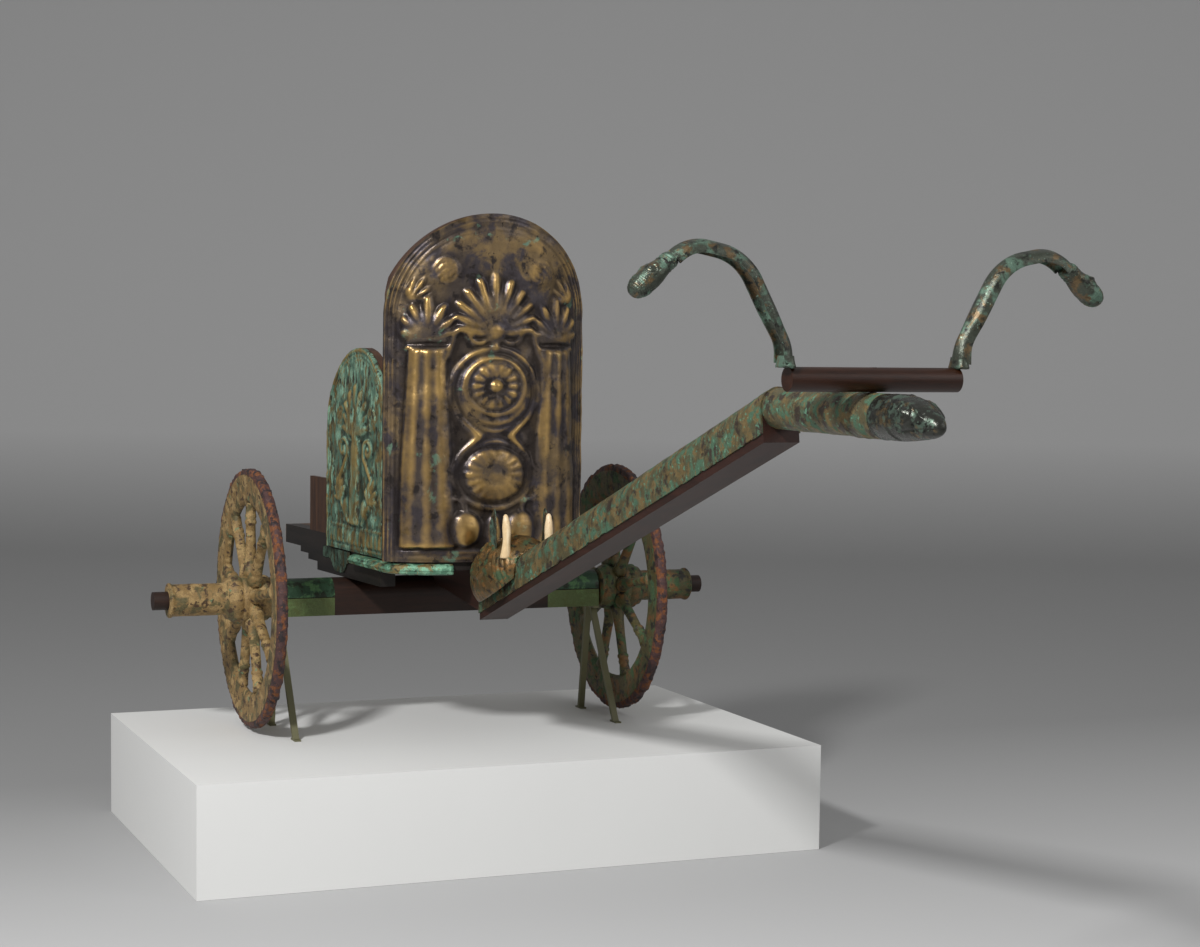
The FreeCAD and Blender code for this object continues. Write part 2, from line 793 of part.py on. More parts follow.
def main():
    os.makedirs("parts", exist_ok=True)
    nodes = {
        "plinth": buildPlinth(),
        "axle": buildAxle(),
        "floor_frame": buildFloorFrame(),
        "floor_board": buildFloorBoard(),
        "front_panel": buildFrontPanel(),
        "front_rail": buildFrontRail(),
        "pole_root": buildPoleRoot(),
        "pole_core": buildPoleCore(),
        "pole_sheath_lower": buildSheathLower(),
        "pole_sheath_upper": buildSheathUpper(),
        "pole_sheath_front": buildSheathFront(),
        "pole_collar": buildCollar(),
        "pole_finial": buildFinial(),
        "pole_cowl": buildCowl(),
        "yoke_bar": buildYokeBar(),
        "yoke_pin": buildYokePin(),
    }
    pairs = {
        "axle_sleeve": buildAxleSleeve(),
        "axle_saddle": buildSaddle(),
        "front_leg": buildLeg(legTopX, legFootFront),
        "rear_leg": buildLeg(-legTopX, legFootRear),
        "nave": buildNave(),
        "spokes": buildSpokes(),
        "rim": buildRim(),
        "tyre": buildTyre(),
        "side_panel": buildSidePanel(),
        "side_rail": buildSideRail(),
        "side_board": buildSideBoard(),
        "base_moulding": buildMoulding(),
        "frame_chock": buildChock(),
        "frieze_strip": buildFrieze(),
        "tusk": buildTusk(),
        "ear": buildEar(),
        "yoke_arm": buildYokeArm(),
        "yoke_head": buildYokeHead(),
    }
    for name, left in pairs.items():
        nodes["left_" + name] = left
        nodes["right_" + name] = mirrored(left)
    for name, shape in nodes.items():
        if not shape.isValid() or not shape.Solids:
            raise ValueError(name + " is not a valid solid")
        shape.exportStep(os.path.join("parts", name + ".step"))
    print(len(nodes), "nodes")


main()
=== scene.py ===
import bmesh
import bpy
import math
import numpy as np
from mathutils import Matrix, Vector, noise


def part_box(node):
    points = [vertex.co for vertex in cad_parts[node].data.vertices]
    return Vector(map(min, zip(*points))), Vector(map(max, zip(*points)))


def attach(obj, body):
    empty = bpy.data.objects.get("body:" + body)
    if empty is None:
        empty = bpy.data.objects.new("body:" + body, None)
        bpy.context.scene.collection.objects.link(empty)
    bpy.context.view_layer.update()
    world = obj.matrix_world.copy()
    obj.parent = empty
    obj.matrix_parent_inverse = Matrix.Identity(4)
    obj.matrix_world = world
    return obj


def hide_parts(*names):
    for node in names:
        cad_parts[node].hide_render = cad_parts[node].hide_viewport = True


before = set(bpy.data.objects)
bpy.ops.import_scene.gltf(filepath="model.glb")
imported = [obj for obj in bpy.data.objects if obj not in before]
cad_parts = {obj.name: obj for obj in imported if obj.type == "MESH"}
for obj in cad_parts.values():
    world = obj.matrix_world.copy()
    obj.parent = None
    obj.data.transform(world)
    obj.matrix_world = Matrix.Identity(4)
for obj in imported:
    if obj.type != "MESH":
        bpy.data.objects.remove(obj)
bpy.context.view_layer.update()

mm = 0.001
print("frame loaded:", len(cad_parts), "nodes")


# ---------- small tools

def linear(hexColour):
    # sRGB hex, as written in a colour picker, to the linear values that shaders use
    values = [int(hexColour[i:i + 2], 16) / 255 for i in (1, 3, 5)]
    return [v / 12.92 if v <= 0.04045 else ((v + 0.055) / 1.055) ** 2.4 for v in values] + [1.0]


def addNode(tree, kind, inputs=None, stops=None, **settings):
    node = tree.nodes.new(kind)
    for name, value in settings.items():
        setattr(node, name, value)
    for key, value in (inputs or {}).items():
        if isinstance(value, bpy.types.NodeSocket):
            tree.links.new(value, node.inputs[key])
        else:
            node.inputs[key].default_value = value
    for number, (place, colour) in enumerate(stops or []):
        ramp = node.color_ramp.elements
        stop = ramp[number] if number < len(ramp) else ramp.new(place)
        stop.position = place
        stop.color = colour
    return node


def newMaterial(name):
    material = bpy.data.materials.new(name)
    material.use_nodes = True
    material.node_tree.nodes.clear()
    return material, material.node_tree


def fractal(points, sizeMm, octaves=4, seed=0.0):
    # fractal noise, about -1 to 1, at each point; sizeMm is the width of the largest lumps
    scale = 1000.0 / sizeMm
    shift = Vector((seed * 7.31, seed * 3.17, seed * 5.93))
    return np.array([noise.fractal(Vector(p) * scale + shift, 1.0, 2.0, octaves) for p in points])


def makeMesh(name, points, faces, smooth=True):
    mesh = bpy.data.meshes.new(name)
    mesh.from_pydata([tuple(p) for p in points], [], faces)
    mesh.validate()
    piece = bpy.data.objects.new(name, mesh)
    bpy.context.scene.collection.objects.link(piece)
    if smooth:
        mesh.polygons.foreach_set("use_smooth", [True] * len(mesh.polygons))
    return piece


def paintAttribute(piece, name, values):
    layer = piece.data.attributes.new(name, "FLOAT", "POINT")
    layer.data.foreach_set("value", np.asarray(values, dtype=np.float32))


def gridFaces(rows, columns, wrapColumns=False, start=0, flipped=False):
    faces = []
    lastColumn = columns if wrapColumns else columns - 1
    for i in range(rows - 1):
        for j in range(lastColumn):
            k = (j + 1) % columns
            face = (start + i * columns + j, start + i * columns + k,
                    start + (i + 1) * columns + k, start + (i + 1) * columns + j)
            faces.append(face[::-1] if flipped else face)
    return faces


def loftRings(name, rings, capped=True, smooth=True):
    # closed skin over rings of equal counts of points, from first to last
    rings = np.asarray(rings)
    rows, columns = rings.shape[:2]
    faces = gridFaces(rows, columns, wrapColumns=True)
    if capped:
        faces.append(tuple(range(columns))[::-1])
        faces.append(tuple((rows - 1) * columns + j for j in range(columns)))
    piece = makeMesh(name, rings.reshape(-1, 3), faces, smooth)
    outward(piece)
    return piece


def outward(piece):
    work = bmesh.new()
    work.from_mesh(piece.data)
    bmesh.ops.recalc_face_normals(work, faces=work.faces)
    work.to_mesh(piece.data)
    work.free()


def sharpEdges(piece, degrees):
    # keeps edges sharper than the angle hard under smooth shading
    work = bmesh.new()
    work.from_mesh(piece.data)
    limit = math.radians(degrees)
    for edge in work.edges:
        edge.smooth = not (edge.is_manifold and edge.calc_face_angle(0) > limit)
    work.to_mesh(piece.data)
    work.free()


def thickened(skin, thickness, offset):
    # gives an open skin its wall, as a plain mesh
    wall = skin.modifiers.new("wall", "SOLIDIFY")
    wall.thickness = thickness
    wall.offset = offset
    shown = skin.evaluated_get(bpy.context.evaluated_depsgraph_get())
    mesh = bpy.data.meshes.new_from_object(shown)
    skin.modifiers.clear()
    skin.data = mesh
    mesh.polygons.foreach_set("use_smooth", [True] * len(mesh.polygons))
    outward(skin)


def place(piece, material, body="root", slot=None, replaces=()):
    piece.data.materials.append(material)
    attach(piece, body)
    if replaces:
        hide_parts(*replaces)
    return piece


def dress(material, *names):
    # gives CAD nodes their finish
    for name in names:
        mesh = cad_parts[name].data
        mesh.materials.clear()
        mesh.materials.append(material)


def mirroredCopy(piece, name):
    # the same piece on the other side of the centre plane
    mesh = piece.data.copy()
    points = np.empty(len(mesh.vertices) * 3, dtype=np.float32)
    mesh.vertices.foreach_get("co", points)
    points = points.reshape(-1, 3)
    points[:, 1] *= -1
    mesh.vertices.foreach_set("co", points.ravel())
    mesh.flip_normals()
    mesh.materials.clear()
    copy = bpy.data.objects.new(name, mesh)
    bpy.context.scene.collection.objects.link(copy)
    return copy


# ---------- finishes

def patina(name, base, patches, rough=(0.42, 0.72), metallic=0.55, grainMm=2.2, bump=0.5, rubbedEdgeAndHighlight=None,
           dirt=None, stretch=(1, 1, 1), lowPart=None, speckle=0.5):
    # weathered metal: a base colour under patches of corrosion products, each with its own size
    material, tree = newMaterial(name)
    coords = addNode(tree, "ShaderNodeTexCoord").outputs["Object"]
    turned = addNode(tree, "ShaderNodeMapping", {"Vector": coords, "Scale": stretch}).outputs[0]
    colour = addNode(tree, "ShaderNodeRGB").outputs[0]
    colour.default_value = linear(base)
    roughness = None
    for number, (patch, sizeMm, level, edge) in enumerate(patches):
        moved = addNode(tree, "ShaderNodeMapping", {"Vector": turned, "Location": (number * 3.7, number * 1.3, 0)})
        cloud = addNode(tree, "ShaderNodeTexNoise", {
            "Vector": moved.outputs[0], "Scale": 1000 / sizeMm, "Detail": 8.0, "Roughness": 0.62, "Distortion": 0.3})
        mask = addNode(tree, "ShaderNodeMapRange", {
            "Value": cloud.outputs[0], "From Min": level - edge, "From Max": level + edge},
            interpolation_type="SMOOTHSTEP")
        mix = addNode(tree, "ShaderNodeMix", {0: mask.outputs[0], 6: colour, 7: linear(patch)}, data_type="RGBA")
        colour = mix.outputs[2]
        roughness = roughness or mask.outputs[0]
    if lowPart:
        # a second colour below a height, as where two sheets of metal meet
        patch, height = lowPart
        split = addNode(tree, "ShaderNodeSeparateXYZ", {0: coords})
        below = addNode(tree, "ShaderNodeMath", {0: split.outputs["Z"], 1: height}, operation="LESS_THAN")
        share = addNode(tree, "ShaderNodeMath", {0: below.outputs[0], 1: 0.65}, operation="MULTIPLY")
        mix = addNode(tree, "ShaderNodeMix", {0: share.outputs[0], 6: colour, 7: linear(patch)}, data_type="RGBA")
        colour = mix.outputs[2]
    if dirt:
        # soil and dark corrosion stay in the hollows of the relief
        dirtWearAndSheen = addNode(tree, "ShaderNodeAttribute", attribute_name="dirtWearAndSheen")
        hollow = addNode(tree, "ShaderNodeMapRange", {
            "Value": dirtWearAndSheen.outputs["Fac"], "From Min": 0.42, "From Max": 0.12, "To Max": 0.75})
        mix = addNode(tree, "ShaderNodeMix", {0: hollow.outputs[0], 6: colour, 7: linear(dirt)}, data_type="RGBA")
        colour = mix.outputs[2]
    fine = addNode(tree, "ShaderNodeTexNoise", {
        "Vector": turned, "Scale": 1000 / grainMm, "Detail": 6.0, "Roughness": 0.7})
    shade = addNode(tree, "ShaderNodeMapRange", {
        "Value": fine.outputs[0], "From Min": 0.3, "From Max": 0.7, "To Min": 1 - speckle, "To Max": 1 + speckle * 0.5})
    colour = addNode(tree, "ShaderNodeVectorMath", {0: colour, 3: shade.outputs[0]}, operation="SCALE").outputs[0]
    metal = metallic
    if rubbedEdgeAndHighlight:
        # raised edges are lighter gold and more metallic: partly rubbed back to bright metal, partly a painted
        # highlight
        dirtWearAndSheen = addNode(tree, "ShaderNodeAttribute", attribute_name="dirtWearAndSheen")
        rubAndHighlightNoise = addNode(tree, "ShaderNodeTexNoise", {"Vector": coords, "Scale": 9.0, "Detail": 5.0, "Roughness": 0.6})
        both = addNode(tree, "ShaderNodeMath", {0: dirtWearAndSheen.outputs["Fac"], 1: rubAndHighlightNoise.outputs[0]}, operation="MULTIPLY")
        mask = addNode(tree, "ShaderNodeMapRange", {
            "Value": both.outputs[0], "From Min": 0.24, "From Max": 0.50, "To Max": 0.8})
        mix = addNode(tree, "ShaderNodeMix", {0: mask.outputs[0], 6: colour, 7: linear(rubbedEdgeAndHighlight)}, data_type="RGBA")
        colour = mix.outputs[2]
        metal = addNode(tree, "ShaderNodeMapRange", {
            "Value": mask.outputs[0], "To Min": metallic, "To Max": min(1.0, metallic + 0.3)}).outputs[0]
    roughValue = addNode(tree, "ShaderNodeMapRange", {
        "Value": roughness or fine.outputs[0], "To Min": rough[0], "To Max": rough[1]})
    coarse = addNode(tree, "ShaderNodeTexNoise", {
        "Vector": turned, "Scale": 1000 / (grainMm * 7), "Detail": 5.0, "Roughness": 0.6})
    deep = addNode(tree, "ShaderNodeBump", {"Height": coarse.outputs[0], "Strength": bump, "Distance": 0.002})
    normal = addNode(tree, "ShaderNodeBump", {
        "Height": fine.outputs[0], "Normal": deep.outputs[0], "Strength": bump, "Distance": 0.0006})
    shader = addNode(tree, "ShaderNodeBsdfPrincipled", {
        "Base Color": colour, "Metallic": metal, "Roughness": roughValue.outputs[0], "Normal": normal.outputs[0]})
    addNode(tree, "ShaderNodeOutputMaterial", {"Surface": shader.outputs[0]})
    return material


def stainedWood(name, dark, light, along, grainMm=1.6, rough=0.5, tip=None):
    # close-grained wood, the grain stretched along one axis
    material, tree = newMaterial(name)
    coords = addNode(tree, "ShaderNodeTexCoord").outputs["Object"]
    scale = [1.0, 1.0, 1.0]
    scale[along] = 0.06
    turned = addNode(tree, "ShaderNodeMapping", {"Vector": coords, "Scale": scale}).outputs[0]
    figure = addNode(tree, "ShaderNodeTexNoise", {"Vector": turned, "Scale": 45.0, "Detail": 5.0, "Distortion": 0.6})
    pores = addNode(tree, "ShaderNodeTexNoise", {"Vector": turned, "Scale": 1000 / grainMm, "Detail": 3.0})
    both = addNode(tree, "ShaderNodeMix", {0: 0.35, 2: figure.outputs[0], 3: pores.outputs[0]})
    ramp = addNode(tree, "ShaderNodeValToRGB", {0: both.outputs[0]}, stops=[(0.34, linear(dark)), (0.64, linear(light))])
    colour = ramp.outputs[0]
    if tip:
        # end faces beyond a place along X show bare wood
        bare, edge = tip
        split = addNode(tree, "ShaderNodeSeparateXYZ", {0: coords})
        end = addNode(tree, "ShaderNodeMath", {0: split.outputs["X"], 1: edge}, operation="LESS_THAN")
        colour = addNode(tree, "ShaderNodeMix", {0: end.outputs[0], 6: colour, 7: linear(bare)}, data_type="RGBA").outputs[2]
    normal = addNode(tree, "ShaderNodeBump", {"Height": pores.outputs[0], "Strength": 0.25, "Distance": 0.0004})
    shader = addNode(tree, "ShaderNodeBsdfPrincipled", {
        "Base Color": colour, "Roughness": rough, "IOR": 1.4, "Normal": normal.outputs[0]})
    addNode(tree, "ShaderNodeOutputMaterial", {"Surface": shader.outputs[0]})
    return material


def paint(name, colour, rough, textureMm=1.5, bump=0.1, dust=None):
    # brushed or rolled paint: an even colour with a slight orange peel and a little dust
    material, tree = newMaterial(name)
    coords = addNode(tree, "ShaderNodeTexCoord").outputs["Object"]
    cloud = addNode(tree, "ShaderNodeTexNoise", {"Vector": coords, "Scale": 3.0, "Detail": 4.0})
    mix = addNode(tree, "ShaderNodeMix", {
        0: cloud.outputs[0], 6: linear(colour), 7: linear(dust or colour)}, data_type="RGBA")
    peel = addNode(tree, "ShaderNodeTexNoise", {"Vector": coords, "Scale": 1000 / textureMm, "Detail": 2.0})
    normal = addNode(tree, "ShaderNodeBump", {"Height": peel.outputs[0], "Strength": bump, "Distance": 0.0003})
    shader = addNode(tree, "ShaderNodeBsdfPrincipled", {
        "Base Color": mix.outputs[2], "Roughness": rough, "Normal": normal.outputs[0]})
    addNode(tree, "ShaderNodeOutputMaterial", {"Surface": shader.outputs[0]})
    return material


# hammered bronze sheet, cleaned: brown-violet oxide, tan where it was rubbed, gold on the high edges as rubbed metal
# and painted highlight
panelBronze = patina("brownHammeredBronze", "#584e47", [("#786446", 170, 0.55, 0.08), ("#453f42", 80, 0.52, 0.06),
                     ("#332d2b", 36, 0.58, 0.05), ("#6b8672", 60, 0.65, 0.03), ("#26211f", 12, 0.66, 0.03)],
                     rough=(0.28, 0.46), metallic=0.68, grainMm=1.6, bump=0.35, rubbedEdgeAndHighlight="#c4a062", dirt="#241d1a",
                     speckle=0.3)
# the same sheet, still under its green corrosion, its raised edges lighter as rubbed metal and painted highlight
sideBronze = patina("greenPanelBronze", "#5e7f6c", [("#8ab098", 46, 0.52, 0.06), ("#6a5c38", 38, 0.54, 0.05),
                    ("#3a3a2c", 22, 0.57, 0.04), ("#8a7242", 13, 0.63, 0.03)], rough=(0.5, 0.78), metallic=0.4,
                    grainMm=1.8, bump=0.6, rubbedEdgeAndHighlight="#9a8450", dirt="#1d241e", speckle=0.5, stretch=(1.6, 1.6, 0.6))
# buried bronze, mottled: verdigris, olive and tan crusts over brown
poleBronze = patina("mottledPoleBronze", "#605a40", [("#4f6f58", 34, 0.51, 0.06), ("#7a6843", 26, 0.54, 0.05),
                    ("#3f352c", 30, 0.57, 0.05), ("#6d9a80", 12, 0.63, 0.03), ("#86562f", 8, 0.68, 0.03),
                    ("#211e19", 9, 0.66, 0.03)], rough=(0.42, 0.72), metallic=0.42, grainMm=1.6, bump=0.75)
# bright copper carbonate over the rolled edge
mouldingBronze = patina("verdigrisMoulding", "#5b8a70", [("#8cbfa0", 26, 0.54, 0.05), ("#84744a", 34, 0.54, 0.05),
                        ("#2f3d30", 14, 0.58, 0.05), ("#a98c52", 11, 0.65, 0.03)], rough=(0.45, 0.72),
                        metallic=0.4, bump=0.7)
# cast bronze, dark and smooth, grey-green with brown and a little gold where it was handled
yokeBronze = patina("darkCastBronze", "#454a40", [("#5f7868", 34, 0.53, 0.06), ("#66543a", 28, 0.56, 0.05),
                    ("#272823", 18, 0.58, 0.05), ("#93b09d", 8, 0.66, 0.03), ("#a08448", 6, 0.69, 0.02)],
                    rough=(0.3, 0.55), metallic=0.58, grainMm=1.4, bump=0.6)
finialBronze = patina("polishedDarkBronze", "#3a3b36", [("#56665a", 20, 0.56, 0.05), ("#6a5a40", 24, 0.58, 0.05),
                      ("#20201d", 14, 0.60, 0.04)], rough=(0.22, 0.42), metallic=0.7, grainMm=1.2, bump=0.4,
                      speckle=0.35)
# earthy crust on the near wheel; the far one greener, and painted darker as shade
nearWheelBronze = patina("tanWheelCrust", "#8a6f43", [("#a58a5c", 34, 0.53, 0.06), ("#5f5636", 44, 0.55, 0.05),
                         ("#4a3623", 18, 0.58, 0.04), ("#66805f", 20, 0.65, 0.03), ("#2e2419", 8, 0.66, 0.03)],
                         rough=(0.62, 0.88), metallic=0.1, grainMm=2.4, bump=1.0)
shadedFarWheelBronze = patina("shadedOliveWheelCrust", "#57502f", [("#46603f", 30, 0.54, 0.06), ("#73522c", 34, 0.56, 0.05),
                        ("#2c2820", 20, 0.57, 0.04), ("#8a7a4a", 9, 0.66, 0.03)], rough=(0.55, 0.82),
                        metallic=0.18, grainMm=2.2, bump=1.0)
# flaking wrought iron, brown-purple scale with rust where it broke away
tyreIron = patina("flakingIron", "#4c3230", [("#7c4c2c", 20, 0.53, 0.05), ("#2c2224", 26, 0.55, 0.05),
                  ("#a5683c", 6, 0.66, 0.03)], rough=(0.7, 0.95), metallic=0.1, grainMm=2.6, bump=1.2)
# wrapped bronze on the axle: dark green above the seam, olive below
sleeveBronze = patina("greenAxleSleeve", "#2c4632", [("#557a50", 34, 0.57, 0.05), ("#20281a", 24, 0.56, 0.05)],
                      rough=(0.34, 0.58), metallic=0.45, grainMm=1.6, bump=0.6, lowPart=("#66703f", 0.605))
# lead-dark crust on the cowl with amber brown and green
cowlBronze = patina("brownCowlBronze", "#66512f", [("#4b5f42", 28, 0.56, 0.05), ("#8a6436", 22, 0.57, 0.05),
                    ("#2a231a", 16, 0.59, 0.04), ("#7f9a7c", 8, 0.68, 0.03)], rough=(0.32, 0.56), metallic=0.5,
                    grainMm=1.6, bump=0.7)
# old ivory: warm, cracked lengthwise, waxy
tuskIvory = patina("oldIvory", "#dcbf93", [("#efd9b4", 20, 0.5, 0.08), ("#a8774a", 9, 0.66, 0.04)],
                   rough=(0.38, 0.5), metallic=0.0, grainMm=1.2, bump=0.3, stretch=(1, 1, 0.25), speckle=0.15)

axleWood = stainedWood("darkAxleBeamOak", "#150a05", "#2e180d", 1, rough=0.55)
railWood = stainedWood("blackRailAsh", "#0f0d0c", "#241d19", 0, rough=0.5, tip=("#c9a98a", -0.4445))
boardWood = stainedWood("brownBoardOak", "#2c1b13", "#503421", 2, rough=0.5)
floorWood = stainedWood("floorBoardOak", "#3a281c", "#6a4a33", 0, rough=0.6)
poleWood = stainedWood("redBrownPoleWood", "#1b0c07", "#341a12", 0, rough=0.5)
yokeWood = stainedWood("chestnutYokeBar", "#130702", "#321708", 1, rough=0.38)
whitePaint = paint("plinthEmulsion", "#dededc", 0.75, bump=0.06, dust="#dadad8")
legPaint = paint("olivePaintedSteel", "#6d6a4a", 0.55, bump=0.25, dust="#57553c")
print("finishes ready")


# ---------- CAD nodes that keep their shape

dress(whitePaint, "plinth")
dress(axleWood, "axle")
dress(railWood, "floor_frame", "left_frame_chock", "right_frame_chock")
dress(floorWood, "floor_board")
dress(boardWood, "left_side_board", "right_side_board", "front_rail", "left_side_rail", "right_side_rail")
dress(poleWood, "pole_core", "pole_root", "yoke_pin")
dress(yokeWood, "yoke_bar")
for side in ("left_", "right_"):
    dress(legPaint, side + "axle_saddle", side + "front_leg", side + "rear_leg")
    dress(sleeveBronze, side + "axle_sleeve")


# ---------- repoussé panels

def dome(distance, width, height):
    return height * np.sqrt(np.clip(1 - (distance / width) ** 2, 0, 1))


def ridge(distance, width, height):
    inside = np.abs(distance) < width
    return np.where(inside, height * np.cos(0.5 * np.pi * distance / width) ** 2, 0)


def lineDistance(across, up, points):
    # distance to a chain of straight runs
    best = np.full(across.shape, 1e9)
    for (x0, z0), (x1, z1) in zip(points[:-1], points[1:]):
        dx, dz = x1 - x0, z1 - z0
        along = np.clip(((across - x0) * dx + (up - z0) * dz) / (dx * dx + dz * dz + 1e-9), 0, 1)
        best = np.minimum(best, np.hypot(across - x0 - along * dx, up - z0 - along * dz))
    return best


def spiral(x, z, radius, turns, start, hand):
    steps = np.linspace(0, 1, 26)
    angle = start + hand * steps * turns * 2 * np.pi
    reach = radius * (1 - 0.88 * steps)
    return list(zip(x + reach * np.cos(angle), z + reach * np.sin(angle)))


def leaf(across, up, x, z, angle, length, width, height):
    # a pointed leaf rising from (x, z), with a rib down its middle
    dx, dz = across - x, up - z
    along = (dx * math.cos(angle) + dz * math.sin(angle)) / length
    aside = -dx * math.sin(angle) + dz * math.cos(angle)
    half = width * np.sqrt(np.clip(along, 0, 1)) * np.sqrt(np.clip(1 - along, 0, 1)) * 2
    inside = (along > 0) & (along < 1)
    body = np.where(inside, height * np.sqrt(np.clip(1 - (aside / (half + 0.01)) ** 2, 0, 1)), 0)
    return body + np.where(inside & (np.abs(aside) < half), ridge(aside, 2.5, 1.2), 0)


def palmette(across, up, x, z, radius, leaves, spread, height, turn=math.pi / 2):
    result = np.zeros(across.shape)
    for number in range(leaves):
        share = number / (leaves - 1) - 0.5
        angle = turn - share * spread
        length = radius * (1 - 0.35 * abs(share) * 2)
        width = radius * spread / leaves * 0.36
        result = np.maximum(result, leaf(across, up, x, z, angle, length, width, height))
    return result


def rosette(across, up, x, z, radius, petals, height):
    dx, dz = across - x, up - z
    reach = np.hypot(dx, dz)
    angle = np.arctan2(dz, dx)
    ring = ridge(reach - radius, 5, height * 0.8)
    petal = np.clip(np.abs(np.cos(angle * petals / 2)), 0, 1) ** 0.6
    flower = np.where(reach < radius * 0.82, petal * dome(reach - radius * 0.52, radius * 0.34, height), 0)
    return np.maximum(np.maximum(ring, flower), dome(reach, radius * 0.24, height * 1.1))


def volutes(across, up, x, z, radius, height):
    result = np.zeros(across.shape)
    for hand in (-1, 1):
        curl = spiral(x + hand * radius * 1.05, z, radius, 1.6, math.pi / 2 - hand * 0.3, hand * -1)
        result = np.maximum(result, ridge(lineDistance(across, up, curl), radius * 0.17, height))
    return result


def stalk(across, up, x, z0, z1, footHalf, topHalf, folds, height):
    # a fluted, swelling stalk, as of pleated cloth or a tree's foot
    share = np.clip((up - z0) / (z1 - z0), 0, 1)
    half = footHalf + (topHalf - footHalf) * share
    aside = (across - x) / half
    inside = (np.abs(aside) < 1) & (up > z0) & (up < z1)
    body = height * np.sqrt(np.clip(1 - aside ** 2, 0, 1)) ** 0.7
    flutes = 1.6 * np.cos(aside * folds * np.pi)
    return np.where(inside, np.maximum(body + flutes * (1 - aside ** 4), 0), 0)


def blurred(grid, reach):
    result = grid
    for axis in (0, 1):
        width = 2 * reach + 1
        padded = np.concatenate([np.repeat(np.take(result, [0], axis), reach + 1, axis), result,
                                 np.repeat(np.take(result, [-1], axis), reach, axis)], axis)
        total = np.cumsum(padded, axis)
        ahead = np.take(total, range(width, total.shape[axis]), axis)
        behind = np.take(total, range(0, total.shape[axis] - width), axis)
        result = (ahead - behind) / width
    return result


def frontRelief(across, up, edge):
    # ribs follow the arch; inside them a symmetrical plant design round two bosses
    side = np.abs(across)
    h = ridge(edge - 5, 5.5, 4) + ridge(edge - 15, 5, 3) + ridge(edge - 24, 4.5, 3) + ridge(edge - 36, 3, 2.5)
    field = np.clip((edge - 30) / 20, 0, 1)
    h += field * 2.5
    inner = np.zeros(across.shape)
    inner = np.maximum(inner, stalk(side, up, 158, 34, 520, 70, 44, 3.5, 15))
    inner = np.maximum(inner, ridge(up - 524, 7, 10) * (np.abs(side - 158) < 50))
    inner = np.maximum(inner, ridge(up - 540, 6, 9) * (np.abs(side - 158) < 46))
    inner = np.maximum(inner, palmette(side, up, 158, 545, 105, 7, 2.6, 9))
    inner = np.maximum(inner, volutes(side, up, 158, 556, 24, 8))
    upper = np.hypot(across, up - 420)
    lower = np.hypot(across / 0.98, (up - 215) / 0.86)
    joined = -24 * np.log(np.exp(-(upper - 104) / 24) + np.exp(-(lower - 98) / 24))
    for place, width, height in ((0, 6, 8), (-12, 4, 5), (-21, 3, 4)):
        inner = np.maximum(inner, ridge(joined - place, width, height))
    inner = np.maximum(inner, np.where(joined < -24, 5, 0))
    angle = np.arctan2(up - 215, across)
    tongues = 3 * np.abs(np.cos(angle * 9)) * (lower > 34) * (lower < 74)
    inner = np.maximum(inner, np.where(lower < 78, dome(lower, 80, 15) + tongues, 0))
    inner = np.maximum(inner, ridge(lower - 30, 4, 17))
    petals = rosette(across, up, 0, 432, 70, 14, 8)
    inner = np.maximum(inner, np.where(upper < 86, 6 + petals, 0))
    inner = np.maximum(inner, dome(np.hypot(across, up - 432), 20, 20))
    stem = lineDistance(side, up, [(0, 520), (14, 560), (52, 585), (96, 560), (112, 505), (126, 470)])
    inner = np.maximum(inner, ridge(stem, 9, 9))
    inner = np.maximum(inner, palmette(across, up, 0, 560, 150, 11, 2.9, 10))
    inner = np.maximum(inner, volutes(across, up, 0, 562, 34, 10))
    inner = np.maximum(inner, dome(np.hypot(across, up - 566), 24, 15))
    inner = np.maximum(inner, rosette(side, up, 116, 712, 27, 10, 6))
    inner = np.maximum(inner, palmette(side, up, 196, 640, 58, 5, 1.8, 6, turn=2.1))
    inner = np.maximum(inner, dome(np.hypot((side - 68) / 0.85, up - 82), 44, 17))
    inner = np.maximum(inner, ridge(lineDistance(side, up, [(68, 126), (74, 150), (100, 158)]), 7, 8))
    inner = np.maximum(inner, leaf(across, up, 0, 30, math.pi / 2, 84, 20, 8))
    inner = np.maximum(inner, ridge(up - 24, 6, 5))
    inner = np.maximum(inner, ridge(up - 12, 5, 4))
    return h + inner * np.clip((edge - 38) / 8, 0, 1)


def sideRelief(across, up, edge):
    # a palm between two curling stems, over a row of tongues
    side = np.abs(across)
    h = ridge(edge - 6, 7, 6) + ridge(edge - 19, 6, 4) + ridge(edge - 30, 4.5, 3)
    h += np.clip((edge - 26) / 16, 0, 1) * 2
    inner = stalk(across, up, 0, 70, 300, 34, 20, 2.5, 12)
    inner = np.maximum(inner, palmette(across, up, 0, 300, 130, 9, 2.7, 10))
    inner = np.maximum(inner, volutes(across, up, 0, 304, 26, 9))
    curl = [(44, 74), (92, 120), (104, 190), (70, 230)] + spiral(84, 262, 34, 1.3, -2.2, -1)
    inner = np.maximum(inner, ridge(lineDistance(side, up, curl), 8, 9))
    inner = np.maximum(inner, palmette(side, up, 96, 130, 66, 5, 2.0, 8, turn=1.15))
    inner = np.maximum(inner, rosette(side, up, 104, 340, 27, 10, 8))
    inner = np.maximum(inner, dome(np.hypot(side - 62, (up - 112) / 1.25), 22, 10))
    tongue = np.abs(np.sin(across * np.pi / 26))
    inner = np.maximum(inner, np.where((up > 18) & (up < 58), 6 * tongue ** 0.5 * dome(up - 30, 28, 1), 0))
    inner = np.maximum(inner, ridge(up - 62, 4, 5))
    inner = np.maximum(inner, ridge(up - 10, 5, 4))
    return h + inner * np.clip((edge - 32) / 8, 0, 1)


frontPanel = {"noseRadius": 0.600, "noseAngle": math.radians(12.5), "cheekRadius": 0.309,
              "cheekAngle": math.radians(40), "wall": 0.010, "archRise": 0.262, "columns": 236, "rows": 370,
              "backColumns": 60, "backRows": 80, "stand": 0.95}
sidePanel = {"wall": 0.008, "archRise": 0.220, "apex": 0.125, "taper": math.radians(4.76),
             "columns": 150, "rows": 200, "stand": 0.9}


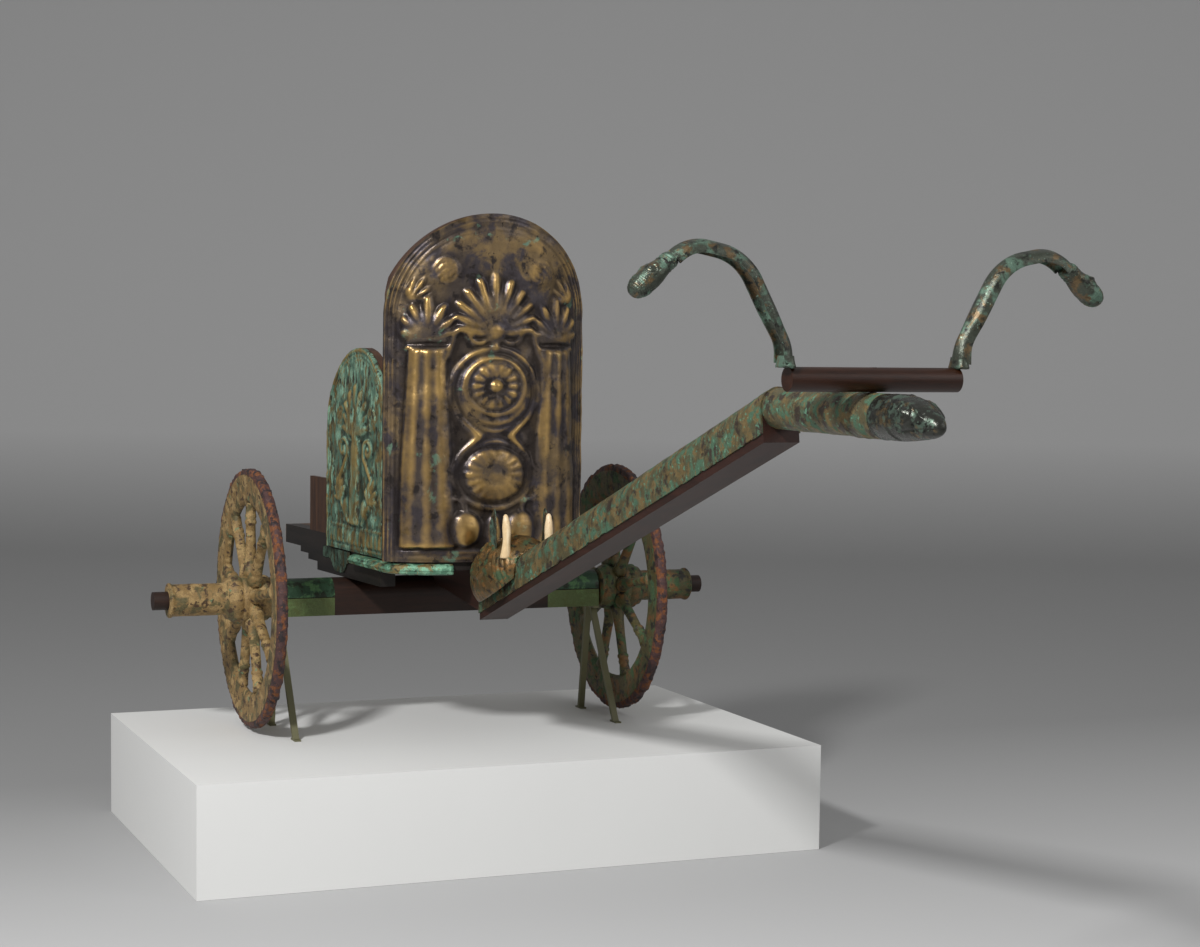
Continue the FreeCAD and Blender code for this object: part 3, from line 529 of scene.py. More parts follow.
def panelSkin(name, frontPoints, backPoints, dirtWearAndSheen):
    # a face grid and a back grid, joined round their edges
    rows, columns = frontPoints.shape[:2]
    backRows, backColumns = backPoints.shape[:2]
    start = rows * columns
    points = np.concatenate([frontPoints.reshape(-1, 3), backPoints.reshape(-1, 3)])
    faces = gridFaces(rows, columns)
    faces += gridFaces(backRows, backColumns, start=start, flipped=True)
    frontLoop = rimLoop(rows, columns, 0)
    backLoop = rimLoop(backRows, backColumns, start)
    faces += bridge(frontLoop, backLoop)
    piece = makeMesh(name, points, faces)
    paintAttribute(piece, "dirtWearAndSheen", np.concatenate([dirtWearAndSheen.ravel(), np.full(backRows * backColumns, 0.35)]))
    sharpEdges(piece, 75)
    return piece


def rimLoop(rows, columns, start):
    # four sides in turn, each as a list of (share along the side, vertex)
    bottom = [(j / (columns - 1), start + j) for j in range(columns)]
    right = [(i / (rows - 1), start + i * columns + columns - 1) for i in range(rows)]
    top = [(1 - j / (columns - 1), start + (rows - 1) * columns + j) for j in range(columns - 1, -1, -1)]
    left = [(1 - i / (rows - 1), start + i * columns) for i in range(rows - 1, -1, -1)]
    return [bottom, right, top, left]


def bridge(firstLoop, secondLoop):
    # triangles between two rims of different counts
    faces = []
    for first, second in zip(firstLoop, secondLoop):
        i = j = 0
        while i < len(first) - 1 or j < len(second) - 1:
            nextFirst = first[i + 1][0] if i < len(first) - 1 else 2
            nextSecond = second[j + 1][0] if j < len(second) - 1 else 2
            if nextFirst <= nextSecond:
                faces.append((first[i][1], second[j][1], first[i + 1][1]))
                i += 1
            else:
                faces.append((first[i][1], second[j][1], second[j + 1][1]))
                j += 1
    return faces


def dirtWearAndSheenFrom(height):
    # 0 in hollows, 1 on sharp high points, from the height against its neighbourhood; it places the hollow corrosion
    # and the painted highlight
    local = height - blurred(height, 5)
    wide = height - blurred(height, 16)
    return np.clip(0.45 + local * 0.10 + wide * 0.05, 0, 1)


def makeFrontPanel():
    low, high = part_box("front_panel")
    p = frontPanel
    nose = Vector((high.x - p["noseRadius"], 0))
    slide = p["noseRadius"] - p["cheekRadius"]
    cheek = Vector((nose.x + slide * math.cos(p["noseAngle"]), slide * math.sin(p["noseAngle"])))
    noseLength = p["noseRadius"] * p["noseAngle"]
    halfLength = noseLength + p["cheekRadius"] * (p["cheekAngle"] - p["noseAngle"])
    halfWidth = high.y + 0.0005
    spring = high.z - p["archRise"]

    def plan(along):
        side = np.sign(along)
        reach = np.abs(along)
        angle = np.where(reach < noseLength, reach / p["noseRadius"],
                         p["noseAngle"] + (reach - noseLength) / p["cheekRadius"])
        radius = np.where(reach < noseLength, p["noseRadius"], p["cheekRadius"])
        centreX = np.where(reach < noseLength, nose.x, cheek.x)
        centreY = np.where(reach < noseLength, 0, cheek.y)
        normal = np.stack([np.cos(angle), side * np.sin(angle)], -1)
        return centreX + radius * normal[..., 0], side * centreY + radius * normal[..., 1], normal

    def grid(rows, columns, edgeIn):
        turn = np.linspace(-0.5 * math.pi, 0.5 * math.pi, columns)
        along = halfLength * (0.62 * np.sin(turn) + 0.38 * turn / (0.5 * math.pi)) * (1 - edgeIn)
        x, y, normal = plan(along)
        top = spring + p["archRise"] * np.sqrt(np.clip(1 - (y / halfWidth) ** 2, 0, 1)) - 0.0005
        share = np.linspace(0, 1, rows)[:, None]
        z = low.z + share * (top - low.z)[None, :]
        return np.broadcast_to(along, z.shape), np.broadcast_to(x, z.shape), np.broadcast_to(y, z.shape), z, normal

    along, x, y, z, normal = grid(p["rows"], p["columns"], 0)
    wide = np.abs(along) * (p["archRise"] / halfLength)
    edge = (p["archRise"] - np.hypot(wide, np.maximum(z - spring, 0))) / mm
    height = frontRelief(along / mm * 0.94, (z - low.z) / mm, edge)
    lumps = fractal(np.stack([x, y, z], -1).reshape(-1, 3), 90, 3, 1).reshape(z.shape)
    dents = fractal(np.stack([x, y, z], -1).reshape(-1, 3), 28, 3, 2).reshape(z.shape)
    height = blurred(height, 2) * 1.12 + lumps * 2.6 + dents * 0.6
    out = height * p["stand"] * mm
    face = np.stack([x + normal[None, :, 0] * out, y + normal[None, :, 1] * out, z], -1)
    _, bx, by, bz, backNormal = grid(p["backRows"], p["backColumns"], 0)
    inward = p["wall"] - 0.0008
    back = np.stack([bx - backNormal[None, :, 0] * inward, by - backNormal[None, :, 1] * inward, bz], -1)
    piece = panelSkin("frontPanelRelief", face, back, dirtWearAndSheenFrom(height))
    place(piece, panelBronze, slot="brown_bronze", replaces=["front_panel"])
    print("front panel:", len(piece.data.polygons), "faces")


def makeSidePanels():
    low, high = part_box("left_side_panel")
    p = sidePanel
    cosT, sinT = math.cos(p["taper"]), math.sin(p["taper"])
    rear, front = low.x + p["wall"] * sinT, high.x - p["wall"] * sinT
    spring = high.z - p["archRise"]
    innerRear = Vector((rear, high.y - p["wall"] * cosT))

    def grid(rows, columns):
        turn = np.linspace(-0.5 * math.pi, 0.5 * math.pi, columns)
        share = 0.5 + 0.5 * (0.62 * np.sin(turn) + 0.38 * turn / (0.5 * math.pi))
        x = rear + (front - rear) * share
        run = np.where(x < p["apex"], p["apex"] - rear, front - p["apex"])
        top = spring + p["archRise"] * np.sqrt(np.clip(1 - ((x - p["apex"]) / run) ** 2, 0, 1))
        up = np.linspace(0, 1, rows)[:, None]
        z = low.z + up * (top - low.z)[None, :]
        return np.broadcast_to(x, z.shape), np.broadcast_to(run, z.shape), z

    x, run, z = grid(p["rows"], p["columns"])
    wide = np.abs(x - p["apex"]) / run
    above = np.maximum(z - spring, 0) / p["archRise"]
    edge = (1 - np.hypot(wide, above)) * p["archRise"] / mm
    across = (x - 0.5 * (rear + front)) / mm
    height = sideRelief(across, (z - low.z) / mm, edge)
    flat = np.stack([x, np.zeros(x.shape), z], -1).reshape(-1, 3)
    lumps = fractal(flat, 60, 3, 5).reshape(z.shape)
    dents = fractal(flat, 18, 3, 6).reshape(z.shape)
    height = blurred(height, 1) + lumps * 2.2 + dents * 1.0
    outY = p["wall"] + height * p["stand"] * mm
    line = innerRear.y - (x - rear) * math.tan(p["taper"])
    face = np.stack([x, line + outY / cosT, z], -1)
    bx, _, bz = grid(50, 40)
    back = np.stack([bx, innerRear.y - (bx - rear) * math.tan(p["taper"]) + 0.0008, bz], -1)
    # seen from outside the left panel, +X runs to the left, so the face grid is wound the other way
    piece = panelSkin("leftSidePanelRelief", face[:, ::-1], back[:, ::-1], dirtWearAndSheenFrom(height)[:, ::-1])
    right = mirroredCopy(piece, "rightSidePanelRelief")
    place(piece, sideBronze, slot="green_bronze", replaces=["left_side_panel"])
    place(right, sideBronze, slot="green_bronze", replaces=["right_side_panel"])
    print("side panels:", len(piece.data.polygons), "faces each")


makeFrontPanel()
makeSidePanels()


# ---------- wheels

wheel = {"spokes": 9, "rimInner": 0.241, "tyreInner": 0.315, "radius": 0.335, "halfWidth": 0.014,
         "tyreHalf": 0.015}


def lathe(name, profile, centre, steps, rough=None, seed=0):
    # turns (radius, y) points about the axle; rough moves points in and out by noise, in mm
    angles = np.linspace(0, 2 * math.pi, steps, endpoint=False)
    rings = []
    for radius, y in profile:
        rings.append([(centre.x + radius * math.sin(a), y, centre.z + radius * math.cos(a)) for a in angles])
    rings = np.array(rings)
    if rough:
        size, amount = rough
        lift = fractal(rings.reshape(-1, 3), size, 4, seed).reshape(rings.shape[:2]) * amount * mm
        centreLine = np.array([centre.x, 0, centre.z])
        radial = rings - centreLine
        radial[..., 1] = 0
        radial /= np.linalg.norm(radial, axis=-1, keepdims=True)
        rings = rings + radial * lift[..., None]
    faces = gridFaces(len(profile) + 1, steps, wrapColumns=True)
    last = len(profile) * steps
    faces = [tuple(v - last if v >= last else v for v in face) for face in faces]
    piece = makeMesh(name, rings.reshape(-1, 3), faces)
    outward(piece)
    sharpEdges(piece, 50)
    return piece


def spokeMesh():
    # one upright spoke: a socket at the nave, a slightly waisted shank and a collared foot at the rim
    stations = [(0.052, 0.0195, 0.021), (0.066, 0.0190, 0.020), (0.078, 0.0180, 0.0165), (0.086, 0.0160, 0.0140),
                (0.092, 0.0150, 0.0125), (0.130, 0.0135, 0.0112), (0.165, 0.0128, 0.0106), (0.188, 0.0126, 0.0104),
                (0.191, 0.0150, 0.0128), (0.197, 0.0152, 0.0130), (0.200, 0.0134, 0.0112), (0.205, 0.0134, 0.0112),
                (0.208, 0.0150, 0.0128), (0.214, 0.0140, 0.0128), (0.217, 0.0130, 0.0116), (0.228, 0.0132, 0.0150),
                (0.238, 0.0134, 0.0200), (0.2440, 0.0134, 0.0250)]
    turns = np.linspace(0, 2 * math.pi, 28, endpoint=False)
    rings = [[(b * math.cos(t), a * math.sin(t), z) for t in turns] for z, a, b in stations]
    piece = loftRings("spokePattern", rings)
    return piece


def spokeTree():
    tree = bpy.data.node_groups.new("spokesRoundNave", "GeometryNodeTree")
    face = tree.interface
    face.new_socket("Geometry", in_out="INPUT", socket_type="NodeSocketGeometry")
    sizes = {"Count": ("NodeSocketInt", 9), "Axle": ("NodeSocketVector", (0, 0, 0)),
             "Start Angle": ("NodeSocketFloat", 0.0), "Roughness mm": ("NodeSocketFloat", 1.2)}
    for name, (kind, value) in sizes.items():
        face.new_socket(name, in_out="INPUT", socket_type=kind).default_value = value
    face.new_socket("Finish", in_out="INPUT", socket_type="NodeSocketMaterial")
    face.new_socket("Geometry", in_out="OUTPUT", socket_type="NodeSocketGeometry")
    given = addNode(tree, "NodeGroupInput").outputs
    points = addNode(tree, "GeometryNodeMeshLine", {"Count": given["Count"], "Offset": (0, 0, 0)}, mode="OFFSET")
    number = addNode(tree, "GeometryNodeInputIndex")
    step = addNode(tree, "ShaderNodeMath", {0: 2 * math.pi, 1: given["Count"]}, operation="DIVIDE")
    turn = addNode(tree, "ShaderNodeMath", {
        0: number.outputs[0], 1: step.outputs[0], 2: given["Start Angle"]}, operation="MULTIPLY_ADD")
    angles = addNode(tree, "ShaderNodeCombineXYZ", {"Y": turn.outputs[0]})
    copies = addNode(tree, "GeometryNodeInstanceOnPoints", {
        "Points": points.outputs[0], "Instance": given["Geometry"], "Rotation": angles.outputs[0]})
    real = addNode(tree, "GeometryNodeRealizeInstances", {"Geometry": copies.outputs[0]})
    at = addNode(tree, "GeometryNodeTransform", {"Geometry": real.outputs[0], "Translation": given["Axle"]})
    spot = addNode(tree, "GeometryNodeInputPosition")
    crust = addNode(tree, "ShaderNodeTexNoise", {"Vector": spot.outputs[0], "Scale": 60.0, "Detail": 4.0})
    lift = addNode(tree, "ShaderNodeMath", {0: crust.outputs[0], 1: 0.5}, operation="SUBTRACT")
    amount = addNode(tree, "ShaderNodeMath", {0: lift.outputs[0], 1: given["Roughness mm"]}, operation="MULTIPLY")
    metres = addNode(tree, "ShaderNodeMath", {0: amount.outputs[0], 1: 0.002}, operation="MULTIPLY")
    normal = addNode(tree, "GeometryNodeInputNormal")
    push = addNode(tree, "ShaderNodeVectorMath", {0: normal.outputs[0], 3: metres.outputs[0]}, operation="SCALE")
    moved = addNode(tree, "GeometryNodeSetPosition", {"Geometry": at.outputs[0], "Offset": push.outputs[0]})
    done = addNode(tree, "GeometryNodeSetMaterial", {"Geometry": moved.outputs[0], "Material": given["Finish"]})
    addNode(tree, "NodeGroupOutput", {0: done.outputs[0]})
    return tree


def grown(source, name, tree, values):
    # runs a Geometry Nodes tree on a copy of the source and keeps the result as a plain mesh
    carrier = bpy.data.objects.new(name + "Carrier", source.data)
    bpy.context.scene.collection.objects.link(carrier)
    modifier = carrier.modifiers.new("grow", "NODES")
    modifier.node_group = tree
    sockets = {item.name: item.identifier for item in tree.interface.items_tree if item.in_out == "INPUT"}
    for key, value in values.items():
        modifier[sockets[key]] = value
    bpy.context.view_layer.update()
    shown = carrier.evaluated_get(bpy.context.evaluated_depsgraph_get())
    mesh = bpy.data.meshes.new_from_object(shown)
    mesh.name = name
    bpy.data.objects.remove(carrier)
    piece = bpy.data.objects.new(name, mesh)
    bpy.context.scene.collection.objects.link(piece)
    mesh.polygons.foreach_set("use_smooth", [True] * len(mesh.polygons))
    return piece


def makeWheels():
    pattern = spokeMesh()
    tree = spokeTree()
    # the far (left) wheel takes the copy painted darker as shade
    for side, sign, finish in (("left", 1, shadedFarWheelBronze), ("right", -1, nearWheelBronze)):
        body = side + "_wheel"
        low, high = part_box(side + "_tyre")
        axle = (low + high) / 2
        seed = 3 if sign > 0 else 8
        y = axle.y
        w = wheel
        spokes = grown(pattern, side + "Spokes", tree, {
            "Count": w["spokes"], "Axle": tuple(axle), "Start Angle": 0.0, "Roughness mm": 2.0, "Finish": finish})
        spokes.data.materials.clear()
        place(spokes, finish, body, "khaki_bronze", [side + "_spokes"])
        # felloe: rounded inner edge with a lip each side
        half = w["halfWidth"]
        rim = [(w["tyreInner"], y - half), (w["tyreInner"] - 0.012, y - half), (w["tyreInner"] - 0.020, y - half + 0.002),
               (w["rimInner"] + 0.016, y - half + 0.0025), (w["rimInner"] + 0.006, y - half + 0.006),
               (w["rimInner"] + 0.001, y - half + 0.012), (w["rimInner"], y), (w["rimInner"] + 0.001, y + half - 0.012),
               (w["rimInner"] + 0.006, y + half - 0.006), (w["rimInner"] + 0.016, y + half - 0.0025),
               (w["tyreInner"] - 0.020, y + half - 0.002), (w["tyreInner"] - 0.012, y + half), (w["tyreInner"], y + half)]
        felloe = lathe(side + "Rim", rim, axle, 220, (34, 1.1), seed)
        place(felloe, finish, body, "khaki_bronze", [side + "_rim"])
        tyre = makeTyre(side + "Tyre", axle, seed)
        place(tyre, tyreIron, body, "rusty_iron", [side + "_tyre"])
        nave = makeNave(side + "Nave", axle, sign, seed)
        place(nave, finish, body, "khaki_bronze", [side + "_nave"])
    bpy.data.objects.remove(pattern)
    print("wheels made")


def makeTyre(name, axle, seed):
    # flakes of scale leave steps in the tread, so noise is cut into levels
    w = wheel
    angles = np.linspace(0, 2 * math.pi, 420, endpoint=False)
    across = [-1, -1, -0.86, -0.6, -0.3, 0, 0.3, 0.6, 0.86, 1, 1]
    reach = [0, 0.55, 0.82, 0.92, 0.97, 1, 0.97, 0.92, 0.82, 0.55, 0]
    rings = []
    for side, share in zip(across, reach):
        radius = w["tyreInner"] + (w["radius"] - 0.0015 - w["tyreInner"]) * share
        rings.append([(axle.x + radius * math.sin(a), axle.y + side * (w["tyreHalf"] - 0.0015),
                       axle.z + radius * math.cos(a)) for a in angles])
    rings = np.array(rings)
    flat = rings.reshape(-1, 3)
    flakes = fractal(flat, 16, 3, seed)
    lumps = fractal(flat, 70, 3, seed + 1)
    lift = (np.floor(flakes * 3) / 3 * 3.2 + lumps * 2.2 - 1.6).clip(-6.5, 1.4).reshape(rings.shape[:2]) * mm
    lift[[0, -1]] = 0
    side = np.array(across)[:, None] * np.ones(lift.shape)
    radial = rings - np.array([axle.x, 0, axle.z])
    radial[..., 1] = 0
    radial /= np.linalg.norm(radial, axis=-1, keepdims=True)
    rings = rings + radial * lift[..., None]
    rings[..., 1] += side * lift * 0.5
    count = len(angles)
    faces = gridFaces(len(rings), count, wrapColumns=True)
    faces += [(j, (len(rings) - 1) * count + j, (len(rings) - 1) * count + (j + 1) % count, (j + 1) % count)
              for j in range(count)]
    piece = makeMesh(name, rings.reshape(-1, 3), faces)
    outward(piece)
    sharpEdges(piece, 35)
    return piece


def makeNave(name, axle, sign, seed):
    low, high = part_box("left_nave")
    inner, outer = low.y, high.y
    bore = 0.0232
    body = [(bore, inner), (0.046, inner), (0.052, inner + 0.004), (0.052, inner + 0.012), (0.0565, inner + 0.016),
            (0.0595, inner + 0.024), (0.0595, inner + 0.036), (0.0560, inner + 0.040), (0.0575, inner + 0.060),
            (0.0590, inner + 0.082), (0.0560, inner + 0.086), (0.0590, inner + 0.092), (0.0590, inner + 0.108),
            (0.0540, inner + 0.113), (0.0520, inner + 0.122), (0.0430, inner + 0.125), (0.0405, inner + 0.130)]
    tube = [(0.0405, outer - 0.120), (0.0408, outer - 0.060), (0.0405, outer - 0.014), (0.0412, outer - 0.010),
            (0.0436, outer - 0.007), (0.0438, outer - 0.002), (0.0420, outer), (bore, outer)]
    fine = []
    for (r0, y0), (r1, y1) in zip((body + tube)[:-1], (body + tube)[1:]):
        count = max(1, int(abs(y1 - y0) / 0.006))
        fine += [(r0 + (r1 - r0) * k / count, y0 + (y1 - y0) * k / count) for k in range(count)]
    fine.append(tube[-1])
    profile = [(radius, sign * y) for radius, y in fine]
    return lathe(name, profile, axle, 96, (26, 0.7), seed + 2)


makeWheels()


# ---------- pole

pole = {"rootX": 0.430, "rootZ": 0.649, "bendX": 1.955, "levelZ": 1.157, "radius": 0.040, "drop": 0.046,
        "wall": 0.003, "levelRadius": 0.038, "joint": 1.224, "collarStart": 2.261, "finialStart": 2.347, "tip": 2.528}
slope = math.atan2(pole["levelZ"] - pole["rootZ"], pole["bendX"] - pole["rootX"])


def archSection(radius, drop, steps=26):
    # round top and straight sides, from the right lip over the top to the left lip, as (side, up)
    sides = [(-radius, -drop + drop * k / 5) for k in range(5)]
    top = [(-radius * math.cos(t), radius * math.sin(t)) for t in np.linspace(0, math.pi, steps)]
    return sides + top + [(radius, -drop * (k + 1) / 5) for k in range(5)]


def makeSheath(name, x0, x1, node, seed):
    low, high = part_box(node)
    outer = archSection(pole["radius"], pole["drop"])
    inner = archSection(pole["radius"] - pole["wall"], pole["drop"])[::-1]
    up = np.array([-math.sin(slope), 0, math.cos(slope)])
    forward = np.array([math.cos(slope), 0, math.sin(slope)])
    count = int((x1 - x0) / 0.006)
    rings = []
    for k in range(count + 1):
        x = x0 + (x1 - x0) * k / count
        centre = np.array([x, 0, pole["rootZ"] + (x - pole["rootX"]) * math.tan(slope)])
        ring = [centre + np.array([0, side, 0]) + up * rise for side, rise in outer + inner]
        rings.append(ring)
    rings = np.array(rings)
    # the ends are upright at the root and halve the angle at the bend
    if node == "pole_sheath_lower":
        rings[0] += forward * ((x0 - rings[0][:, 0]) / math.cos(slope))[:, None]
    else:
        lean = slope / 2
        plane = np.array([math.cos(lean), 0, math.sin(lean)])
        bend = np.array([pole["bendX"], 0, pole["levelZ"]])
        gap = (bend - rings[-1]) @ plane / (forward @ plane)
        rings[-1] += forward * gap[:, None]
        for k in range(2, 12):
            rings[-k] += forward * gap[:, None] * (1 - (k - 1) / 11) * (gap[:, None] < 0)
    half = len(outer)
    flat = rings[:, :half].reshape(-1, 3)
    lift = (fractal(flat, 60, 3, seed) * 0.9 + fractal(flat, 14, 3, seed + 1) * 0.4).reshape(rings.shape[0], half)
    lift = np.clip(lift, -1.4, 0.9) * mm
    normals = np.array([[0, s, 0] + up * r for s, r in [(s / pole["radius"], max(r, 0) / pole["radius"]) for s, r in outer]])
    normals /= np.linalg.norm(normals, axis=1, keepdims=True)
    rings[:, :half] += normals[None] * lift[..., None]
    # the lips are bitten away here and there
    lips = fractal(rings[:, 0], 22, 3, seed + 3)
    bite = np.clip(lips * 6 - 1, 0, 6) * mm
    for index in (0, half - 1, half, -1):
        rings[:, index] += up[None] * bite[:, None]
    piece = loftRings(name, rings)
    sharpEdges(piece, 40)
    return place(piece, poleBronze, slot="mottled_bronze", replaces=[node])


def tubeRings(stations, steps, rough, seed):
    # a round skin along X: stations are (x, radius); rough is (size, amount) in mm
    turns = np.linspace(0, 2 * math.pi, steps, endpoint=False)
    rings = np.array([[(x, r * math.sin(t), pole["levelZ"] + r * math.cos(t)) for t in turns] for x, r in stations])
    size, amount = rough
    lift = fractal(rings.reshape(-1, 3), size, 4, seed).reshape(rings.shape[:2]) * amount * mm
    radial = rings - np.array([0, 0, pole["levelZ"]])
    radial[..., 0] = 0
    radial /= np.linalg.norm(radial, axis=-1, keepdims=True) + 1e-9
    rings += radial * np.clip(lift, -2 * mm, 0.8 * mm)[..., None]
    return rings


def makePoleFront():
    p = pole
    lean = slope / 2
    # level tube, its rear end cut on the plane that halves the bend
    xs = np.arange(p["bendX"], p["collarStart"], 0.006)
    stations = [(x, p["levelRadius"]) for x in xs] + [(p["collarStart"], p["levelRadius"])]
    rings = tubeRings(stations, 72, (30, 0.9), 11)
    shift = -(rings[0][:, 2] - p["levelZ"]) * math.tan(lean)
    for k in range(12):
        rings[k][:, 0] += shift * (1 - k / 12)
    tube = loftRings("poleFrontSheath", rings)
    place(tube, poleBronze, slot="mottled_bronze", replaces=["pole_sheath_front"])
    # two overlapping rings of sheet, each with a bead at its edge
    start, end = p["collarStart"], p["finialStart"]
    middle = start + 0.030
    steps = [(start, 0.0365), (start, 0.0390), (start + 0.002, 0.0398), (start + 0.005, 0.0396), (start + 0.008, 0.0388),
             (middle - 0.004, 0.0386), (middle - 0.001, 0.0382), (middle, 0.0390), (middle + 0.003, 0.0400),
             (middle + 0.006, 0.0396), (middle + 0.012, 0.0390), (end - 0.006, 0.0388), (end, 0.0384), (end, 0.0350)]
    collar = loftRings("poleCollarRings", tubeRings(steps, 72, (30, 0.5), 12))
    sharpEdges(collar, 40)
    place(collar, poleBronze, slot="mottled_bronze", replaces=["pole_collar"])
    makeFinial()


def makeFinial():
    # bird-like head: a cap over the pole, brows over round eyes, and a short blunt bill
    p = pole
    start = p["finialStart"] + 0.0002
    length = p["tip"] - start
    stations = [(0, 1.00, 1.00, 0), (0.03, 1.05, 1.04, 0), (0.06, 1.02, 1.01, 0), (0.2, 1.03, 1.03, 0.01),
                (0.35, 1.04, 1.03, 0.01), (0.48, 1.0, 0.98, 0.0), (0.58, 0.93, 0.92, -0.02), (0.68, 0.83, 0.83, -0.06),
                (0.77, 0.70, 0.72, -0.12), (0.86, 0.55, 0.58, -0.20), (0.93, 0.40, 0.44, -0.26), (0.98, 0.26, 0.28, -0.30),
                (1.0, 0.12, 0.12, -0.32)]
    count = 90
    shares = np.linspace(0, 1, count)
    table = np.array(stations)
    turns = np.linspace(0, 2 * math.pi, 96, endpoint=False)
    rings = []
    for share in shares:
        wide, tall, drop = [np.interp(share, table[:, 0], table[:, k]) for k in (1, 2, 3)]
        x = start + share * length
        radius = p["levelRadius"]
        rings.append([(x, radius * wide * math.sin(t), p["levelZ"] + radius * (drop + tall * math.cos(t))) for t in turns])
    rings = np.array(rings)
    centre = rings.mean(axis=1, keepdims=True)
    radial = rings - centre
    radial /= np.linalg.norm(radial, axis=-1, keepdims=True)
    x = (rings[..., 0] - start) / mm
    angle = np.arctan2(np.abs(rings[..., 1]), rings[..., 2] - centre[..., 2])
    around = angle * 36
    eye = np.hypot(x - 112, around - 44)
    lift = dome(eye, 13, 4.5) + ridge(eye - 17, 4, 2.2) + dome(eye, 5, 2.5)
    brow = lineDistance(x, around, [(80, 34), (104, 22), (132, 28), (150, 40)])
    lift = lift + ridge(brow, 6, 3.2)
    mouth = lineDistance(x, around, [(96, 78), (130, 74), (172, 66)])
    lift = lift - ridge(mouth, 3.5, 2.2)
    lift = lift + ridge(lineDistance(x, around, [(64, 10), (56, 40), (62, 74), (72, 100)]), 5, 2.0)
    lift = lift + fractal(rings.reshape(-1, 3), 14, 3, 14).reshape(lift.shape) * 0.5
    rings += radial * (lift * mm)[..., None]
    head = loftRings("poleBirdHead", rings)
    place(head, finialBronze, slot="dark_bronze", replaces=["pole_finial"])


makeSheath("poleSheathLower", pole["rootX"], pole["joint"] - 0.0015, "pole_sheath_lower", 21)
makeSheath("poleSheathUpper", pole["joint"] + 0.0015, pole["bendX"], "pole_sheath_upper", 27)
makePoleFront()
print("pole made")


# ---------- cowl, tusks and ears

cowl = {"ahead": 0.130, "lift": 0.016, "half": 0.155, "radius": 0.088, "panelGap": 0.026}


def makeCowl():
    # swelling animal-like mask round the pole's root: cheeks, brows, round eyes and a wrinkled snout
    root = Vector((pole["rootX"], 0, pole["rootZ"]))
    forward = Vector((math.cos(slope), 0, math.sin(slope)))
    up = Vector((-math.sin(slope), 0, math.cos(slope)))
    centre = root + forward * cowl["ahead"] + Vector((0, 0, cowl["lift"]))
    rows, columns = 130, 150
    rings = []
    lowest = math.radians(128)
    for share in np.linspace(0.035, 0.985, rows):
        along = -math.cos(share * math.pi) * cowl["half"]
        reach = math.sin(share * math.pi) * cowl["radius"]
        reach = max(reach, 0.012)
        ring = []
        for turn in np.linspace(-lowest, lowest, columns):
            point = centre + forward * along + Vector((0, math.sin(turn), 0)) * reach + up * (math.cos(turn) * reach)
            ring.append(point)
        rings.append(ring)
    rings = np.array([[tuple(p) for p in ring] for ring in rings])
    offset = rings - np.array(centre)
    along = offset @ np.array(forward)
    side = rings[..., 1]
    rise = offset @ np.array(up)
    angle = np.arctan2(np.abs(side), rise)
    a = along / mm
    around = angle * 80
    eye = np.hypot(a - 20, around - 78)
    lift = dome(eye, 17, 7) + ridge(eye - 23, 5, 4)
    lift = lift + ridge(lineDistance(a, around, [(-20, 84), (4, 54), (40, 50), (66, 66)]), 10, 6)
    for wrinkle in range(4):
        lift = lift + ridge(a - 78 - wrinkle * 13 + np.cos(angle * 2) * 5, 5, 3.2)
    lift = lift + ridge(lineDistance(a, around, [(-80, 60), (-40, 110), (10, 128), (70, 116)]), 9, 5)
    lift = lift + fractal(rings.reshape(-1, 3), 26, 4, 31).reshape(lift.shape) * 1.6
    radial = side[..., None] * np.array([0, 1, 0]) + rise[..., None] * np.array(up)
    radial /= np.linalg.norm(radial, axis=-1, keepdims=True) + 1e-9
    rings += radial * (lift * mm)[..., None]
    # the sheet lies against the pole's sheath where the ring comes near it
    half = pole["radius"] + 0.0015
    toLine = rings - np.array(root)
    height = toLine @ np.array(up)
    inPole = (np.abs(rings[..., 1]) < half) & (height < pole["radius"] + 0.001)
    top = np.sqrt(np.clip(half ** 2 - rings[..., 1] ** 2, 0, None))
    push = np.where(inPole, top + 0.001 - height, 0)
    rings += np.array(up) * np.clip(push, 0, 0.05)[..., None] * (height > -0.02)[..., None]
    # nothing reaches back into the front panel
    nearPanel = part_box("front_panel")[1].x + cowl["panelGap"]
    edgeX = nearPanel - 0.9 * rings[..., 1] ** 2 / 0.6
    rings[..., 0] = np.maximum(rings[..., 0], edgeX)
    skin = makeMesh("poleRootMask", rings.reshape(-1, 3), gridFaces(rows, columns))
    thickened(skin, 0.0025, -1)
    place(skin, cowlBronze, slot="mottled_bronze", replaces=["pole_cowl"])


def makeTusks():
    for side, sign in (("left", 1), ("right", -1)):
        low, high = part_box(side + "_tusk")
        middle = (low + high) / 2
        turns = np.linspace(0, 2 * math.pi, 28, endpoint=False)
        rings = []
        for share in np.linspace(0, 1, 26):
            radius = 0.0125 * (1 - 0.42 * share ** 1.6) + 0.0012 * math.cos(share * 9)
            radius *= 1.0 if share < 0.93 else math.sqrt(max(0.08, 1 - ((share - 0.93) / 0.075) ** 2))
            bend = 0.004 * math.sin(share * math.pi)
            ring = [(middle.x + bend + radius * math.cos(t), middle.y + radius * 0.9 * math.sin(t) - sign * bend * 0.4,
                     low.z + 0.001 + (high.z - low.z - 0.001) * share) for t in turns]
            rings.append(ring)
        rings = np.array(rings)
        rough = fractal(rings.reshape(-1, 3), 12, 3, 41).reshape(rings.shape[:2]) * 0.7 * mm
        out = rings - rings.mean(axis=1, keepdims=True)
        out /= np.linalg.norm(out, axis=-1, keepdims=True)
        rings += out * rough[..., None]
        tusk = loftRings(side + "IvoryTusk", rings)
        place(tusk, tuskIvory, slot="ivory", replaces=[side + "_tusk"])


